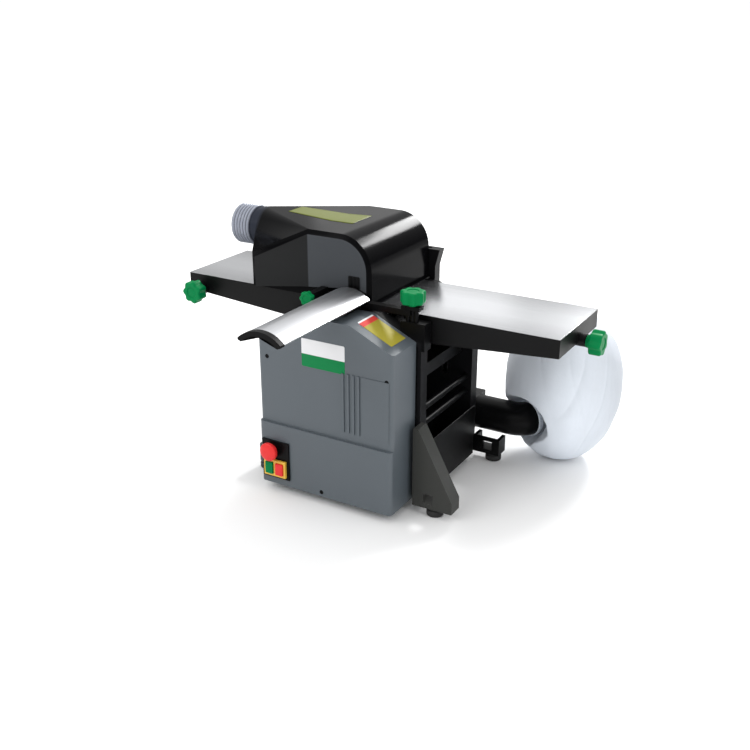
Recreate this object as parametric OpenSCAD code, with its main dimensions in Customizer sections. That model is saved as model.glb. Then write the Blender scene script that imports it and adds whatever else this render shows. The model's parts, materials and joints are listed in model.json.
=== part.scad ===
// Combination planer thicknesser on rubber feet, with chip hood, bridge guard, suction fan and bag.
// X runs along the tables, Y runs from the front to the back, Z is up from the floor.

/* [Tables] */
// Height of the table tops above the floor
table_h = 410; // [390:1:430]
// Width of the tables
table_w = 210; // [206:1:212]
// Distance from the cutter axis to the outer end of each table
table_end_x = 436; // [420:1:460]
// Half the mouth between the two table lips
mouth_x = 22; // [21:0.5:26]
// Thickness of the table plate
plate_t = 10; // [8:0.5:12]
// Thickness of the table skirts
skirt_t = 8; // [6:0.5:10]
// Depth of the skirts at the outer end
skirt_end_d = 38; // [34:1:44]
// Depth of the skirts beside the frame
skirt_mid_d = 58; // [50:1:60]
// Most that the infeed table drops
table_drop = 3; // [2:0.5:4]

/* [Cutter and feed] */
// Radius of the circle that the knife edges cut
cut_r = 30; // [28:0.5:32]
// Radius of the cutter block
block_r = 27; // [24:0.5:27.5]
// Distance from the ends of the cutter block to the table edges
cutter_side = 3; // [3:0.5:7]
// Number of knives
knives = 2; // [2:1:4]
// Radius of the cutter journals
shaft_r = 10; // [8:0.5:12]
// Radius of the feed rollers
roller_r = 16; // [14:0.5:18]
// Distance of the feed rollers from the cutter axis
roller_x = 62; // [58:1:66]
// Teeth on each small gear of the feed train
pinion_teeth = 18; // [17:1:20]
// Teeth on each large gear of the feed train
gear_teeth = 72; // [68:1:72]
// Tooth module of the feed train
gear_module = 1.25; // [1.2:0.05:1.3]

/* [Frame and housing] */
// Half the length of the frame walls
wall_x = 165; // [160:1:172]
// Gap between the table edges and the inner face of each wall
wall_side = 2; // [2:0.5:5]
// Depth of the frame walls with their rims
wall_d = 27; // [24:1:32]
// Thickness of the wall webs and rims
wall_t = 8; // [6:0.5:9]
// Gap under the frame
frame_z = 22; // [20:0.5:26]
// Depth of the upper housing in front of the walls
housing_d = 92; // [81:1:101]
// Half the width of the housing
housing_x = 159; // [150:1:160]
// Wall of the housing
housing_t = 3; // [2:0.5:4]
// Height of the ledge across the housing
ledge_z = 160; // [145:1:170]
// Distance from the middle to each foot along the tables
foot_x = 210; // [205:1:220]
// Distance from the outer face of the walls to each foot
foot_out = 11; // [8:0.5:14]
// Radius of the rubber feet
foot_r = 18; // [16:0.5:20]
// Radius of the bench bolt holes
bolt_r = 4.25; // [3.5:0.25:5]

/* [Thicknesser bed] */
// Height of the board passage over the bed at this setting
board_h = 60; // [52:1:80]
// Half the length of the bed
bed_x = 140; // [125:1:150]
// Travel of the bed above this height
bed_up = 50; // [30:1:50]
// Travel of the bed below this height
bed_down = 55; // [30:1:60]
// Radius of the four lead screws
screw_r = 6; // [5:0.25:7]
// Distance of the lead screws from the cutter axis
screw_x = 100; // [99:0.5:104]

/* [Hood and guard] */
// Length of the hood to the left of the cutter
hood_left = 254; // [240:1:265]
// Reach of the hood to the right of the cutter
hood_right = 40; // [36:1:46]
// Overhang of the hood in front of the tables
hood_over = 7; // [5:0.5:11]
// Overhang of the hood behind the tables
hood_behind = 27; // [15:1:31]
// Height of the hood above the tables
hood_h = 140; // [132:1:150]
// Radius of the hood's rounded shoulder
hood_r = 72; // [60:1:80]
// Wall of the hood
hood_t = 3; // [2:0.5:4]
// Outer radius of the hood outlet
outlet_r = 39; // [36:0.5:40]
// Width of the bridge guard
guard_w = 93; // [86:1:98]
// Rise of the guard's arch
guard_rise = 18; // [14:0.5:20]
// Length of the guard
guard_l = 306; // [280:1:320]
// Height of the guard's edges above the tables
guard_lift_z = 20; // [19:0.5:24]
// Radius of the star knobs
knob_r = 26; // [22:0.5:28]

/* [Suction] */
// Distance of the motor and fan axis from the cutter axis
motor_x = 50; // [40:1:60]
// Height of the motor and fan axis
motor_z = 82; // [80:0.5:86]
// Radius of the motor
motor_r = 50; // [44:1:52]
// Radius of the suction outlet pipe
pipe_r = 38; // [34:0.5:38]
// Radius of the chip bag
bag_r = 132; // [124:1:134]
// Height of the chip bag
bag_h = 362; // [346:1:364]

/* [Hidden] */
$fn = 48;
// Overrun of every cut
over = 1;
// Running clearance of shafts, pins and slides
run_gap = 0.05;
// Clearance between pieces that only lie beside each other
lie_gap = 0.3;
// Clearance where a bearing or bush sits in its seat
seat_gap = 0.02;

// Heights of the main axes
cutter_z = table_h - cut_r;
pass_z = cutter_z - cut_r;
feed_dip = 0.8;
roller_z = pass_z - feed_dip + roller_r;

// Frame walls
wall_y = table_w / 2 + wall_side;
wall_out = wall_y + wall_d;
web_y = wall_y + wall_t;
crest_x = 66;
crest_drop = 7;
shoulder_drop = 50;
wall_top = table_h - crest_drop;
shoulder_z = table_h - shoulder_drop;
bearing_r = 21;
bush_r = 14;
slot_side = 1;
lug_x = 12;
tie_x = [-150, 150];
tie_z = [170, 205];
tie_r = 7;
tie_stud_r = 4;
cover_t = 3;

// Table details
lip_gap = 5;
skirt_x = 110;
pin_r = 5;
pin_x = [120, 142];
pin_drop = 50;
pin_reach = 7;
rib_t = 5;
rib_d = 18;
cross_ribs = 4;
long_rib_y = 32;
boss_r = 13;
boss_l = 14;
knob_drop = 33;
depth_knob_y = 5;
lock_knob_x = 402;

// Knob details
knob_lobes = 7;
knob_h = 26;
lobe_points = 10;
lobe_dip_share = 0.16;
hub_share = 0.5;
hub_h = 8;
stem_r = 6;
dish_share = 0.45;
dish_d = 2;

// Cutter details
cutter_l = table_w - cutter_side * 2;
end_gap = 0.5;
nose_r = 6;
knife_t = 3;
knife_d = 16;
wedge_t = 8;
wedge_d = 13;
pulley_r = 20;
pulley_w = 16;
motor_pulley_r = 10;
belt_t = 3;
belt_w = 12;
tail_l = 6;

// Feed train, with its layers counted outwards from the front wall
gear_w = 8;
layer_gap = 3;
roller_shaft_r = 7;
roller_side = 2;
roller_l = cutter_l - roller_side * 2;
grooves = 24;
groove_share = 0.93;
chain_t = 2.5;
chain_w = 5;
drive_teeth = 11;
roller_teeth = 19;
stud_r = 5;
pressure = 20;
slack = 0.3;
tip_share = 0.9;
root_share = 1.25;
flank_steps = 1;
hub_r = 8;
stage_turns = [240, 300, 240];
gear_step = (pinion_teeth + gear_teeth) * gear_module / 2;
function train_at(i) =
    i == 0
    ? [0, cutter_z]
    : train_at(i - 1) + gear_step * [cos(stage_turns[i - 1]), sin(stage_turns[i - 1])];
function layer_y(i) = -web_y - layer_gap - i * (gear_w + layer_gap);
chain_layer = layer_y(0);
belt_layer = layer_y(4);
chain_room = 5.5;
wheel_r = wall_top - wall_t - chain_room - roller_z;
chain_pitch = wheel_r * 2 * sin(180 / roller_teeth);
drive_r = chain_pitch / 2 / sin(180 / drive_teeth);

// Thicknesser bed and its lift
bed_top = pass_z - board_h;
bed_t = 12;
bed_side = 3;
bed_rib_d = 16;
bed_rib_x = 34;
screw_out = 4;
screw_y = wall_y + wall_d / 2 + screw_out;
nut_r = 9;
nut_h = 22;
nut_drop = 8;
lug_z = [bed_top - nut_drop - nut_h, bed_top - nut_drop];
journal_r = 4.5;
lift_r = 9.5;
lift_z = 11;
lift_w = 7;
screw_top = lug_z[1] + bed_up + over;
cross_r = 8;
cross_w = 10;
cross_gap = 0.5;
cross_teeth = 12;
cross_notch = 1.4;
cross_root_share = 0.86;
crank_x = -screw_x + cross_r * 2 + cross_gap;
crank_z = 112;
crank_r = 6;
crank_boss_r = 11;
crank_boss_l = 7;
crank_throw = 46;
crank_t = 9;
crank_web_share = 0.8;
crank_y = wall_out + cover_t + crank_boss_l + lie_gap;
grip_r = 11;
grip_l = 52;
grip_pin_r = 4;
grip_neck_share = 0.85;
grip_end_share = 0.15;
grip_head_r = 6.5;
grip_head_t = 2;

// Anti-kickback pawls
pawl_x = 104;
pawl_up = 22;
pawl_z = pass_z + pawl_up;
pawl_rod_r = 5;
pawl_r = 9;
pawl_t = 7;
pawls = 15;
pawl_end = 12;
pawl_pitch = (cutter_l - pawl_end * 2) / pawls;
pawl_l = 21;
pawl_w = 9;
pawl_lean = 8;

// Housing details
housing_y = wall_out + housing_d;
housing_mid = -5;
housing_back = wall_out + lie_gap;
housing_z = 20;
housing_crest_drop = 3;
housing_crest_x = 58;
housing_shoulder_drop = 48;
ledge_step = 6;
corner_r = 9;
rib_zone = [39, 80];
spot_drop = 104;
rib_low = 20;
rib_zone_z = [ledge_z + rib_low, table_h - spot_drop];
rib_count = 4;
rib_w = 5;
rib_proud = 2.5;
patch_x = [84, 146];
patch_proud = 1.2;
screw_head_r = 4.5;
screw_head_h = 3;
screw_shank_r = 2;
screw_shank_l = 16;
screw_spots = [[-141, table_h - spot_drop], [140, table_h - spot_drop], [-11, 30]];
screw_boss_r = 6;
screw_slot_w = 1.4;
screw_slot_d = 1.5;

// Switch on the lower housing
switch_x = [-156, -89];
switch_z = [36, 122];
switch_t = 4;
pad_x = [-149, -95];
pad_z = [42, 80];
pad_t = 6;
button_w = 18;
button_h = 26;
button_gap = 7;
button_out = 4;
button_in = 8;
button_slack = 0.4;
stop_x = -130;
stop_z = 101;
stop_r = 20;
stop_h = 14;
stop_stem_r = 11;
stop_stem_l = 12;
stop_lift = 7;
stop_rim_share = 0.6;
stop_top_share = 0.86;
switch_y = -housing_y - ledge_step;

// Legs, base and feet
foot_y = wall_out + foot_out;
leg_top = 190;
leg_tip = 12;
leg_out = 255;
leg_d = 36;
leg_web = 8;
leg_rim = 8;
leg_toe_z = 44;
foot_h = 18;
window = 22;
window_shift = 9;
pad_h = 10;
leg_web_top = 24;
rear_leg_top = 56;
rear_leg_out = 230;
foot_rim_h = 13.5;
foot_neck_r = 14.5;
base_x = 176;
base_h = 118;
base_t = 3;

// Hood details
hood_z = table_h;
hood_front = table_w / 2 + hood_over;
hood_back = table_w / 2 + hood_behind;
crease_x = -108;
side_h = 74;
hood_mid_y = -28;
outlet_up = 108;
outlet_z = table_h + outlet_up;
neck_x = -272;
neck_r = 43;
collar_end = -306;
collar_band = 26;
collar_t = 3;
sleeve_l = 46;
sleeve_lap = 12;
sleeve_t = 2;
sleeve_step = 1;
sleeve_ribs = 6;
sleeve_rib_r = 1.6;
face_proud = 6;
face_inset = 10;
face_gap_right = 28;
face_gap_mid = 18;
face_gap_x = [-40, -124];
flange_w = 7;
flange_t = 3;
latch_x = [-12, 18];
latch_z = [33, 58];
latch_t = 7;

// Guard and its arm
guard_t = 2.5;
post_in = 8;
post_y = -wall_out + post_in;
guard_behind = 4;
guard_back = post_y - guard_behind;
guard_z = table_h + guard_lift_z;
guard_arc_r = (guard_w * guard_w / 4 + guard_rise * guard_rise) / 2 / guard_rise;
guard_arc_z = guard_z + guard_rise - guard_arc_r;
guard_lip = 3;
cap_t = 9;
cap_l = 14;
cap_lap = 10;
arm_front = 10;
arm_behind = 6;
arm_y = [post_y - arm_front, post_y + arm_behind];
arm_up = 3;
bridge_up = 15;
bridge_t = 8;
arm_z = [table_h + arm_up, table_h + bridge_up];
arm_left = -82;
saddle_x = 30;
saddle_l = 66;
saddle_y = post_y - saddle_l;
post_x = 140;
rod_r = 5;
rod_gap = 9;
rod_below = 128;
bridge_w = 40;
bridge_z = [table_h + bridge_up, table_h + bridge_up + bridge_t];
spindle_r = 3.5;
spindle_below = 70;
post_foot_x = [118, 172];
post_foot_top = table_h - plate_t;
clamp_x = -66;
clamp_knob_r = 16;
clamp_knob_h = 13;
clamp_hub_h = 3;
clamp_l = 50;
clamp_face_y = post_y - clamp_l;
clamp_ear = 8;
clamp_up = 20;
clamp_z = table_h + clamp_up;

// Motor, fan, pipe and bag
motor_room = 11;
motor_half_l = wall_y - motor_room;
motor_shaft_r = 6;
motor_foot_w = 50;
motor_fins = 5;
motor_foot_share = 0.8;
motor_nose_share = 0.6;
fin_w = 3;
fin_d = 3;
fan_r = 72;
fan_y0 = wall_out + cover_t;
fan_t = 3;
fan_blades = 8;
fan_wheel_r = 58;
blade_t = 2.5;
blade_h = 34;
wheel_back = 6;
inlet_r = 38;
inlet_l = 26;
pipe_z = 96;
pipe_t = 3;
pipe_start = 104;
elbow_x = 236;
elbow_r = 42;
elbow_turn = 62;
spigot_l = 18;
pipe_y = fan_y0 + pipe_r + lie_gap;
fan_y1 = pipe_y + pipe_r + lie_gap;
clamp_w = 9;
clamp_t = 1.5;
neck_len = 62;
bag_skin = 1.2;
bag_out = 94;
bag_behind = 64.7;
bag_at = [elbow_x + bag_out, pipe_y + bag_behind];
bag_shares = [
    [0, 0], [0.2, 0], [0.32, 0.02], [0.47, 0.05], [0.62, 0.1], [0.76, 0.17], [0.86, 0.25], [0.94, 0.34],
    [0.985, 0.42], [1, 0.5], [0.98, 0.6], [0.92, 0.7], [0.83, 0.78], [0.71, 0.85], [0.57, 0.91],
    [0.39, 0.96], [0.18, 1], [0, 1]
];
// Dent of the bag round its mouth, tipped outward from the pipe's end
dent_room = 14;
dent_r = pipe_r + dent_room;
dent_l = 100;
dent_flare = 46;
dent_tip = 25;
dent_in = 2;
dent_step = 5;

// Cable gland on the rear cover
gland_r = 9;
gland_nose_r = 6.5;
gland_l = 20;
gland_base = 8;
gland_x = -140;
gland_z = 46;
gland_bore_r = 4;

// Fence bracket behind the hood
bracket_x = [16, 64];
bracket_d = 24;
bracket_below = 60;
bracket_above = 61;
bracket_y = [wall_out + cover_t, wall_out + cover_t + bracket_d];
bracket_z = [table_h - bracket_below, table_h + bracket_above];
bracket_head = 38;
bracket_neck_x = 54;
bracket_hole_r = 5;

// Colours
grey = "#656c70";
leg_grey = "#474846";
dark = "#2b2e31";
black = "#161719";
steel = "#b9bcbf";
green = "#0a8a4a";

// A block between two corners given axis by axis
module block(x, y, z) {
    translate([x[0], y[0], z[0]])
        cube([x[1] - x[0], y[1] - y[0], z[1] - z[0]]);
}

// Round bars along each axis
module bar_x(r, x, at) {
    translate([x[0], at[0], at[1]])
        rotate([0, 90, 0])
            cylinder(r = r, h = x[1] - x[0]);
}

module bar_y(r, y, at) {
    translate([at[0], y[1], at[1]])
        rotate([90, 0, 0])
            cylinder(r = r, h = y[1] - y[0]);
}

module bar_z(r, z, at) {
    translate([at[0], at[1], z[0]])
        cylinder(r = r, h = z[1] - z[0]);
}

// An outline drawn in X and Z, carried along Y
module face_y(points, y) {
    translate([0, y[1], 0])
        rotate([90, 0, 0])
            linear_extrude(height = y[1] - y[0])
                polygon(points);
}

// Both sides of the middle plane
module both_y() {
    children();
    mirror([0, 1, 0])
        children();
}

module both_x() {
    children();
    mirror([1, 0, 0])
        children();
}

// Lobed hand knob whose hub starts at the origin and that points along Z
module star_knob(r, h, hub) {
    steps = knob_lobes * lobe_points;
    difference() {
        union() {
            translate([0, 0, hub])
                linear_extrude(height = h)
                    polygon([
                        for (i = [0 : steps - 1])
                            let (turn = i * 360 / steps)
                            r * (1 - lobe_dip_share * (1 - cos(turn * knob_lobes)) / 2)
                            * [cos(turn), sin(turn)]
                    ]);
            cylinder(r = r * hub_share, h = hub + h / 2);
        }
        translate([0, 0, hub + h - dish_d])
            cylinder(r = r * dish_share, h = dish_d + over);
    }
}

// Outline of an involute gear with one tooth centred on the X axis
function involute(angle) = tan(angle) * 180 / PI - angle;
function flank(r, base, half) = half + involute(pressure) - involute(acos(min(1, base / r)));
function gear_outline(teeth) =
    let (
        pitch = teeth * gear_module / 2,
        base = pitch * cos(pressure),
        tip = pitch + gear_module * tip_share,
        root = pitch - gear_module * root_share,
        first = max(base, root),
        half = 90 / teeth - slack / pitch * 90 / PI,
        radii = [for (k = [0 : flank_steps]) first + (tip - first) * k / flank_steps]
    )
    [
        for (i = [0 : teeth - 1])
            each concat(
                [root * [cos(i * 360 / teeth - flank(first, base, half)),
                         sin(i * 360 / teeth - flank(first, base, half))]],
                [for (k = [0 : flank_steps])
                    radii[k] * [cos(i * 360 / teeth - flank(radii[k], base, half)),
                                sin(i * 360 / teeth - flank(radii[k], base, half))]],
                [for (k = [flank_steps : -1 : 0])
                    radii[k] * [cos(i * 360 / teeth + flank(radii[k], base, half)),
                                sin(i * 360 / teeth + flank(radii[k], base, half))]],
                [root * [cos(i * 360 / teeth + flank(first, base, half)),
                         sin(i * 360 / teeth + flank(first, base, half))]]
            )
    ];

// A gear standing in one layer of the feed train
module gear(teeth, layer, at, turn) {
    translate([at[0], layer_y(layer), at[1]])
        rotate([90, 0, 0])
            rotate([0, 0, turn])
                linear_extrude(height = gear_w)
                    polygon(gear_outline(teeth));
}

// A loop round a list of wheels, each [x, y, radius]
module loop(wheels, t, w) {
    linear_extrude(height = w)
        difference() {
            hull()
                for (wheel = wheels)
                    translate([wheel[0], wheel[1]])
                        circle(r = wheel[2] + t);
            hull()
                for (wheel = wheels)
                    translate([wheel[0], wheel[1]])
                        circle(r = wheel[2]);
        }
}

// Frame
function wall_outline(inset) = [
    [-wall_x + inset, frame_z + inset],
    [wall_x - inset, frame_z + inset],
    [wall_x - inset, shoulder_z - inset],
    [crest_x, wall_top - inset],
    [-crest_x, wall_top - inset],
    [-wall_x + inset, shoulder_z - inset]
];

module wall_shape() {
    difference() {
        face_y(wall_outline(0), [-wall_out, -wall_y]);
        face_y(wall_outline(wall_t), [-wall_out - over, -web_y]);
        bar_y(bearing_r + seat_gap, [-wall_out - over, -wall_y + over], [0, cutter_z]);
        for (side = [-1, 1]) {
            bar_y(bush_r + seat_gap, [-wall_out - over, -wall_y + over], [side * roller_x, roller_z]);
            block(
                [side * screw_x - lug_x / 2 - slot_side, side * screw_x + lug_x / 2 + slot_side],
                [-web_y - over, -wall_y + over],
                [lug_z[0] - bed_down - slot_side, lug_z[1] + bed_up + slot_side]
            );
            bar_z(
                journal_r + run_gap,
                [frame_z - over, frame_z + wall_t + over],
                [side * screw_x, -screw_y]
            );
            for (x = pin_x)
                block(
                    [side * x - pin_r - run_gap, side * x + pin_r + run_gap],
                    [-web_y - over, -wall_y + over],
                    [table_h - pin_drop - pin_r - table_drop - run_gap, table_h - pin_drop + pin_r + run_gap]
                );
        }
        bar_y(motor_shaft_r + lie_gap * 2, [-wall_out - over, -wall_y + over], [motor_x, motor_z]);
        bar_y(pawl_rod_r + seat_gap, [-web_y - over, -wall_y + over], [-pawl_x, pawl_z]);
        for (x = tie_x, z = tie_z)
            bar_y(tie_stud_r + seat_gap, [-web_y - over, -wall_y + over], [x, z]);
    }
}

module front_wall() {
    color(dark)
        difference() {
            wall_shape();
            for (side = [-1, 1])
                bar_z(rod_r + lie_gap, [shoulder_z - wall_d, table_h], [post_x + side * rod_gap, post_y]);
            bar_z(spindle_r + lie_gap, [shoulder_z - wall_d, table_h], [post_x, post_y]);
        }
}

module rear_wall() {
    color(dark)
        mirror([0, 1, 0])
            wall_shape();
}

module wall_ties() {
    color(steel)
        for (x = tie_x, z = tie_z) {
            bar_y(tie_r, [-wall_y, wall_y], [x, z]);
            bar_y(tie_stud_r, [-web_y, web_y], [x, z]);
        }
}

module base_case() {
    color(black)
        difference() {
            block([-base_x, base_x], [-wall_y, wall_y], [frame_z, frame_z + base_h]);
            block(
                [-base_x + base_t, base_x - base_t],
                [-wall_y - over, wall_y + over],
                [frame_z + base_t, frame_z + base_h + over]
            );
        }
}

module leg_shape() {
    y0 = -foot_y - leg_d / 2;
    y1 = -foot_y + leg_d / 2;
    outline = [
        [wall_x, foot_h],
        [leg_out, foot_h],
        [leg_out, leg_toe_z],
        [wall_x + leg_tip, leg_top],
        [wall_x, leg_top]
    ];
    pocket = [
        [wall_x + leg_rim, foot_h + pad_h],
        [leg_out - leg_rim, foot_h + pad_h],
        [leg_out - leg_rim, leg_toe_z],
        [wall_x + leg_tip, leg_top - leg_web_top],
        [wall_x + leg_rim, leg_top - leg_web_top]
    ];
    difference() {
        face_y(outline, [y0, y1]);
        face_y(pocket, [y0 + leg_web, y1 + over]);
        block(
            [foot_x - window_shift - window / 2, foot_x - window_shift + window / 2],
            [y0 - over, y0 + leg_web + over],
            [foot_h + pad_h, foot_h + pad_h + window]
        );
        bar_z(bolt_r, [0, foot_h + pad_h + over], [foot_x, -foot_y]);
    }
}

// Low foot lug with a round end
module lug_shape() {
    y = [-foot_y - leg_d / 2, -foot_y + leg_d / 2];
    difference() {
        union() {
            block([wall_x, foot_x], y, [foot_h, rear_leg_top]);
            bar_z(leg_d / 2, [foot_h, rear_leg_top], [foot_x, -foot_y]);
        }
        block(
            [wall_x + leg_rim, foot_x],
            [y[0] + leg_web, y[1] - leg_web],
            [foot_h + pad_h, rear_leg_top + over]
        );
        bar_z(leg_d / 2 - leg_web, [foot_h + pad_h, rear_leg_top + over], [foot_x, -foot_y]);
        bar_z(bolt_r, [0, foot_h + pad_h + over], [foot_x, -foot_y]);
    }
}

module front_legs() {
    color(leg_grey) {
        leg_shape();
        mirror([1, 0, 0])
            lug_shape();
    }
}

module rear_leg_shape() {
    y = [foot_y - leg_d / 2, foot_y + leg_d / 2];
    difference() {
        block([wall_x, rear_leg_out], y, [foot_h, rear_leg_top]);
        block(
            [wall_x + leg_rim, rear_leg_out - leg_rim],
            [y[0] + leg_web, y[1] + over],
            [foot_h + pad_h, rear_leg_top + over]
        );
        block(
            [foot_x - window_shift - window / 2, foot_x - window_shift + window / 2],
            [y[0] - over, y[0] + leg_web + over],
            [foot_h + pad_h, rear_leg_top - leg_rim]
        );
        bar_z(bolt_r, [0, foot_h + pad_h + over], [foot_x, foot_y]);
    }
}

module rear_legs() {
    color(black)
        both_x()
            rear_leg_shape();
}

module rubber_feet() {
    color(black)
        for (x = [-foot_x, foot_x], y = [-foot_y, foot_y])
            translate([x, y, 0])
                difference() {
                    union() {
                        cylinder(r = foot_r, h = foot_rim_h);
                        cylinder(r = foot_neck_r, h = foot_h);
                    }
                    translate([0, 0, -over])
                        cylinder(r = bolt_r, h = foot_h + over * 2);
                }
}

// Front housing
screw_depth = screw_head_h + screw_shank_l;
function screw_front(spot) = spot[1] > ledge_z ? housing_y : housing_y + ledge_step;
function housing_outline(inset, z0, z1) =
    let (
        left = housing_mid - housing_x + inset,
        right = housing_mid + housing_x - inset,
        crest = table_h - housing_crest_drop - inset,
        shoulder = table_h - housing_shoulder_drop - inset
    )
    z1 > shoulder
    ? [[left, z0], [right, z0], [right, shoulder],
       [housing_crest_x, crest], [-housing_crest_x + housing_mid, crest], [left, shoulder]]
    : [[left, z0], [right, z0], [right, z1], [left, z1]];

// A hollow or solid stretch of the housing with rounded front corners
module housing_stretch(inset, front, z0, z1, back) {
    left = housing_mid - housing_x + inset;
    right = housing_mid + housing_x - inset;
    round_r = corner_r - inset;
    intersection() {
        face_y(housing_outline(inset, z0, z1), [-front, back]);
        union() {
            block([left, right], [-front + round_r, back], [z0, table_h]);
            block([left + round_r, right - round_r], [-front, back], [z0, table_h]);
            for (x = [left + round_r, right - round_r])
                bar_z(round_r, [z0, table_h], [x, -front + round_r]);
        }
    }
}

module housing_screw_cuts() {
    for (spot = screw_spots) {
        front = screw_front(spot);
        bar_y(screw_head_r + lie_gap, [-front - over, -front + screw_head_h], spot);
        bar_y(screw_shank_r + lie_gap, [-front - over, -front + screw_depth + over], spot);
    }
}

module front_housing() {
    lower = housing_y + ledge_step;
    floor_z = housing_z + housing_t;
    open_y = -housing_back + over;
    color(grey)
        difference() {
            union() {
                difference() {
                    union() {
                        housing_stretch(0, housing_y, housing_z, table_h, -housing_back);
                        housing_stretch(0, lower, housing_z, ledge_z, -housing_back);
                    }
                    housing_stretch(housing_t, housing_y - housing_t, floor_z, table_h, open_y);
                    housing_stretch(housing_t, lower - housing_t, floor_z, ledge_z - housing_t, open_y);
                }
                for (i = [0 : rib_count - 1]) {
                    x = rib_zone[0] + i * (rib_zone[1] - rib_zone[0] - rib_w) / (rib_count - 1);
                    block([x, x + rib_w], [-housing_y - rib_proud, -housing_y], rib_zone_z);
                }
                block(patch_x, [-housing_y - patch_proud, -housing_y], rib_zone_z);
                for (spot = screw_spots) {
                    front = screw_front(spot);
                    bar_y(screw_boss_r, [-front + housing_t / 2, -front + screw_depth], spot);
                }
            }
            housing_screw_cuts();
            bar_y(
                stop_stem_r + lie_gap,
                [-lower - over, -lower + housing_t + over],
                [stop_x, stop_z]
            );
            for (i = [0, 1])
                button_cut(i, [-lower - over, -lower + housing_t + over]);
        }
}

module housing_screws() {
    color(steel)
        for (spot = screw_spots) {
            front = screw_front(spot);
            difference() {
                bar_y(screw_head_r, [-front, -front + screw_head_h], spot);
                block(
                    [spot[0] - screw_slot_w / 2, spot[0] + screw_slot_w / 2],
                    [-front - over, -front + screw_slot_d],
                    [spot[1] - screw_head_r, spot[1] + screw_head_r]
                );
            }
            bar_y(screw_shank_r, [-front + screw_head_h, -front + screw_depth], spot);
        }
}

module rear_cover() {
    y1 = wall_out + cover_t;
    color(dark)
        difference() {
            union() {
                face_y(wall_outline(0), [wall_out, y1]);
                bar_y(crank_boss_r, [wall_out, y1 + crank_boss_l], [crank_x, crank_z]);
            }
            bar_y(motor_shaft_r + lie_gap * 2, [wall_out - over, y1 + over], [motor_x, motor_z]);
            bar_y(crank_r + run_gap, [wall_out - over, y1 + crank_boss_l + over], [crank_x, crank_z]);
        }
}

// Switch
function button_x(i) =
    (pad_x[0] + pad_x[1]) / 2 + (i == 0 ? -button_gap / 2 - button_w : button_gap / 2);

module button_cut(i, y) {
    z = (pad_z[0] + pad_z[1]) / 2;
    block(
        [button_x(i) - button_slack, button_x(i) + button_w + button_slack],
        y,
        [z - button_h / 2 - button_slack, z + button_h / 2 + button_slack]
    );
}

module switch_plate() {
    color(black)
        difference() {
            block(switch_x, [switch_y - switch_t, switch_y], switch_z);
            bar_y(stop_stem_r + lie_gap, [switch_y - switch_t - over, switch_y + over], [stop_x, stop_z]);
            for (i = [0, 1])
                button_cut(i, [switch_y - switch_t - over, switch_y + over]);
        }
}

module switch_pad() {
    color("#e8b93c")
        difference() {
            block(pad_x, [switch_y - switch_t - pad_t, switch_y - switch_t], pad_z);
            for (i = [0, 1])
                button_cut(i, [switch_y - switch_t - pad_t - over, switch_y - switch_t + over]);
        }
}

module push_button(i) {
    z = (pad_z[0] + pad_z[1]) / 2;
    front = switch_y - switch_t - pad_t;
    block(
        [button_x(i), button_x(i) + button_w],
        [front - button_out, front + pad_t + button_in],
        [z - button_h / 2, z + button_h / 2]
    );
}

module start_button() {
    color(green)
        push_button(0);
}

module off_button() {
    color("#d8402c")
        push_button(1);
}

module stop_button() {
    face = switch_y - switch_t - stop_lift;
    color("#d92b2b") {
        bar_y(stop_r, [face - stop_h * stop_rim_share, face], [stop_x, stop_z]);
        bar_y(stop_r * stop_top_share, [face - stop_h, face], [stop_x, stop_z]);
        bar_y(stop_stem_r, [face, face + stop_stem_l], [stop_x, stop_z]);
    }
}

module cable_gland() {
    y0 = wall_out + cover_t;
    at = [gland_x, gland_z];
    color(black)
        difference() {
            union() {
                bar_y(gland_r, [y0, y0 + gland_base], at);
                bar_y(gland_nose_r, [y0, y0 + gland_l], at);
            }
            bar_y(gland_bore_r, [y0 - over, y0 + gland_l + over], at);
        }
}

// Tables
module table_shape() {
    side = table_w / 2;
    under = table_h - plate_t;
    color(steel)
        difference() {
            union() {
                block([mouth_x, table_end_x], [-side, side], [under, table_h]);
                both_y()
                    face_y(
                        [
                            [skirt_x, under],
                            [skirt_x, table_h - skirt_mid_d],
                            [wall_x, table_h - skirt_mid_d],
                            [table_end_x, table_h - skirt_end_d],
                            [table_end_x, under]
                        ],
                        [-side, -side + skirt_t]
                    );
                block(
                    [table_end_x - skirt_t, table_end_x],
                    [-side, side],
                    [table_h - skirt_end_d, table_h]
                );
                for (i = [0 : cross_ribs - 1]) {
                    x = skirt_x + i * (table_end_x - skirt_x) / cross_ribs;
                    block([x, x + rib_t], [-side, side], [under - rib_d, under]);
                }
                both_y()
                    block([skirt_x, table_end_x], [long_rib_y, long_rib_y + rib_t], [under - rib_d, under]);
                both_y()
                    for (x = pin_x)
                        bar_y(pin_r, [-side - pin_reach, -side + skirt_t], [x, table_h - pin_drop]);
            }
            bar_y(cut_r + lip_gap, [-side - over, side + over], [0, cutter_z]);
        }
}

module infeed_table() {
    axis_z = table_h - knob_drop;
    color(steel)
        difference() {
            union() {
                table_shape();
                bar_x(boss_r, [table_end_x - skirt_t, table_end_x + boss_l], [depth_knob_y, axis_z]);
            }
            bar_x(
                stem_r + run_gap,
                [table_end_x - skirt_t - over, table_end_x + boss_l + over],
                [depth_knob_y, axis_z]
            );
        }
}

module outfeed_table() {
    axis_z = table_h - knob_drop;
    side = table_w / 2;
    color(steel)
        difference() {
            union() {
                mirror([1, 0, 0])
                    table_shape();
                bar_y(boss_r, [-side - boss_l / 2, -side + skirt_t], [-lock_knob_x, axis_z]);
            }
            bar_y(stem_r + run_gap, [-side - boss_l, -side + skirt_t + over], [-lock_knob_x, axis_z]);
        }
}

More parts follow.
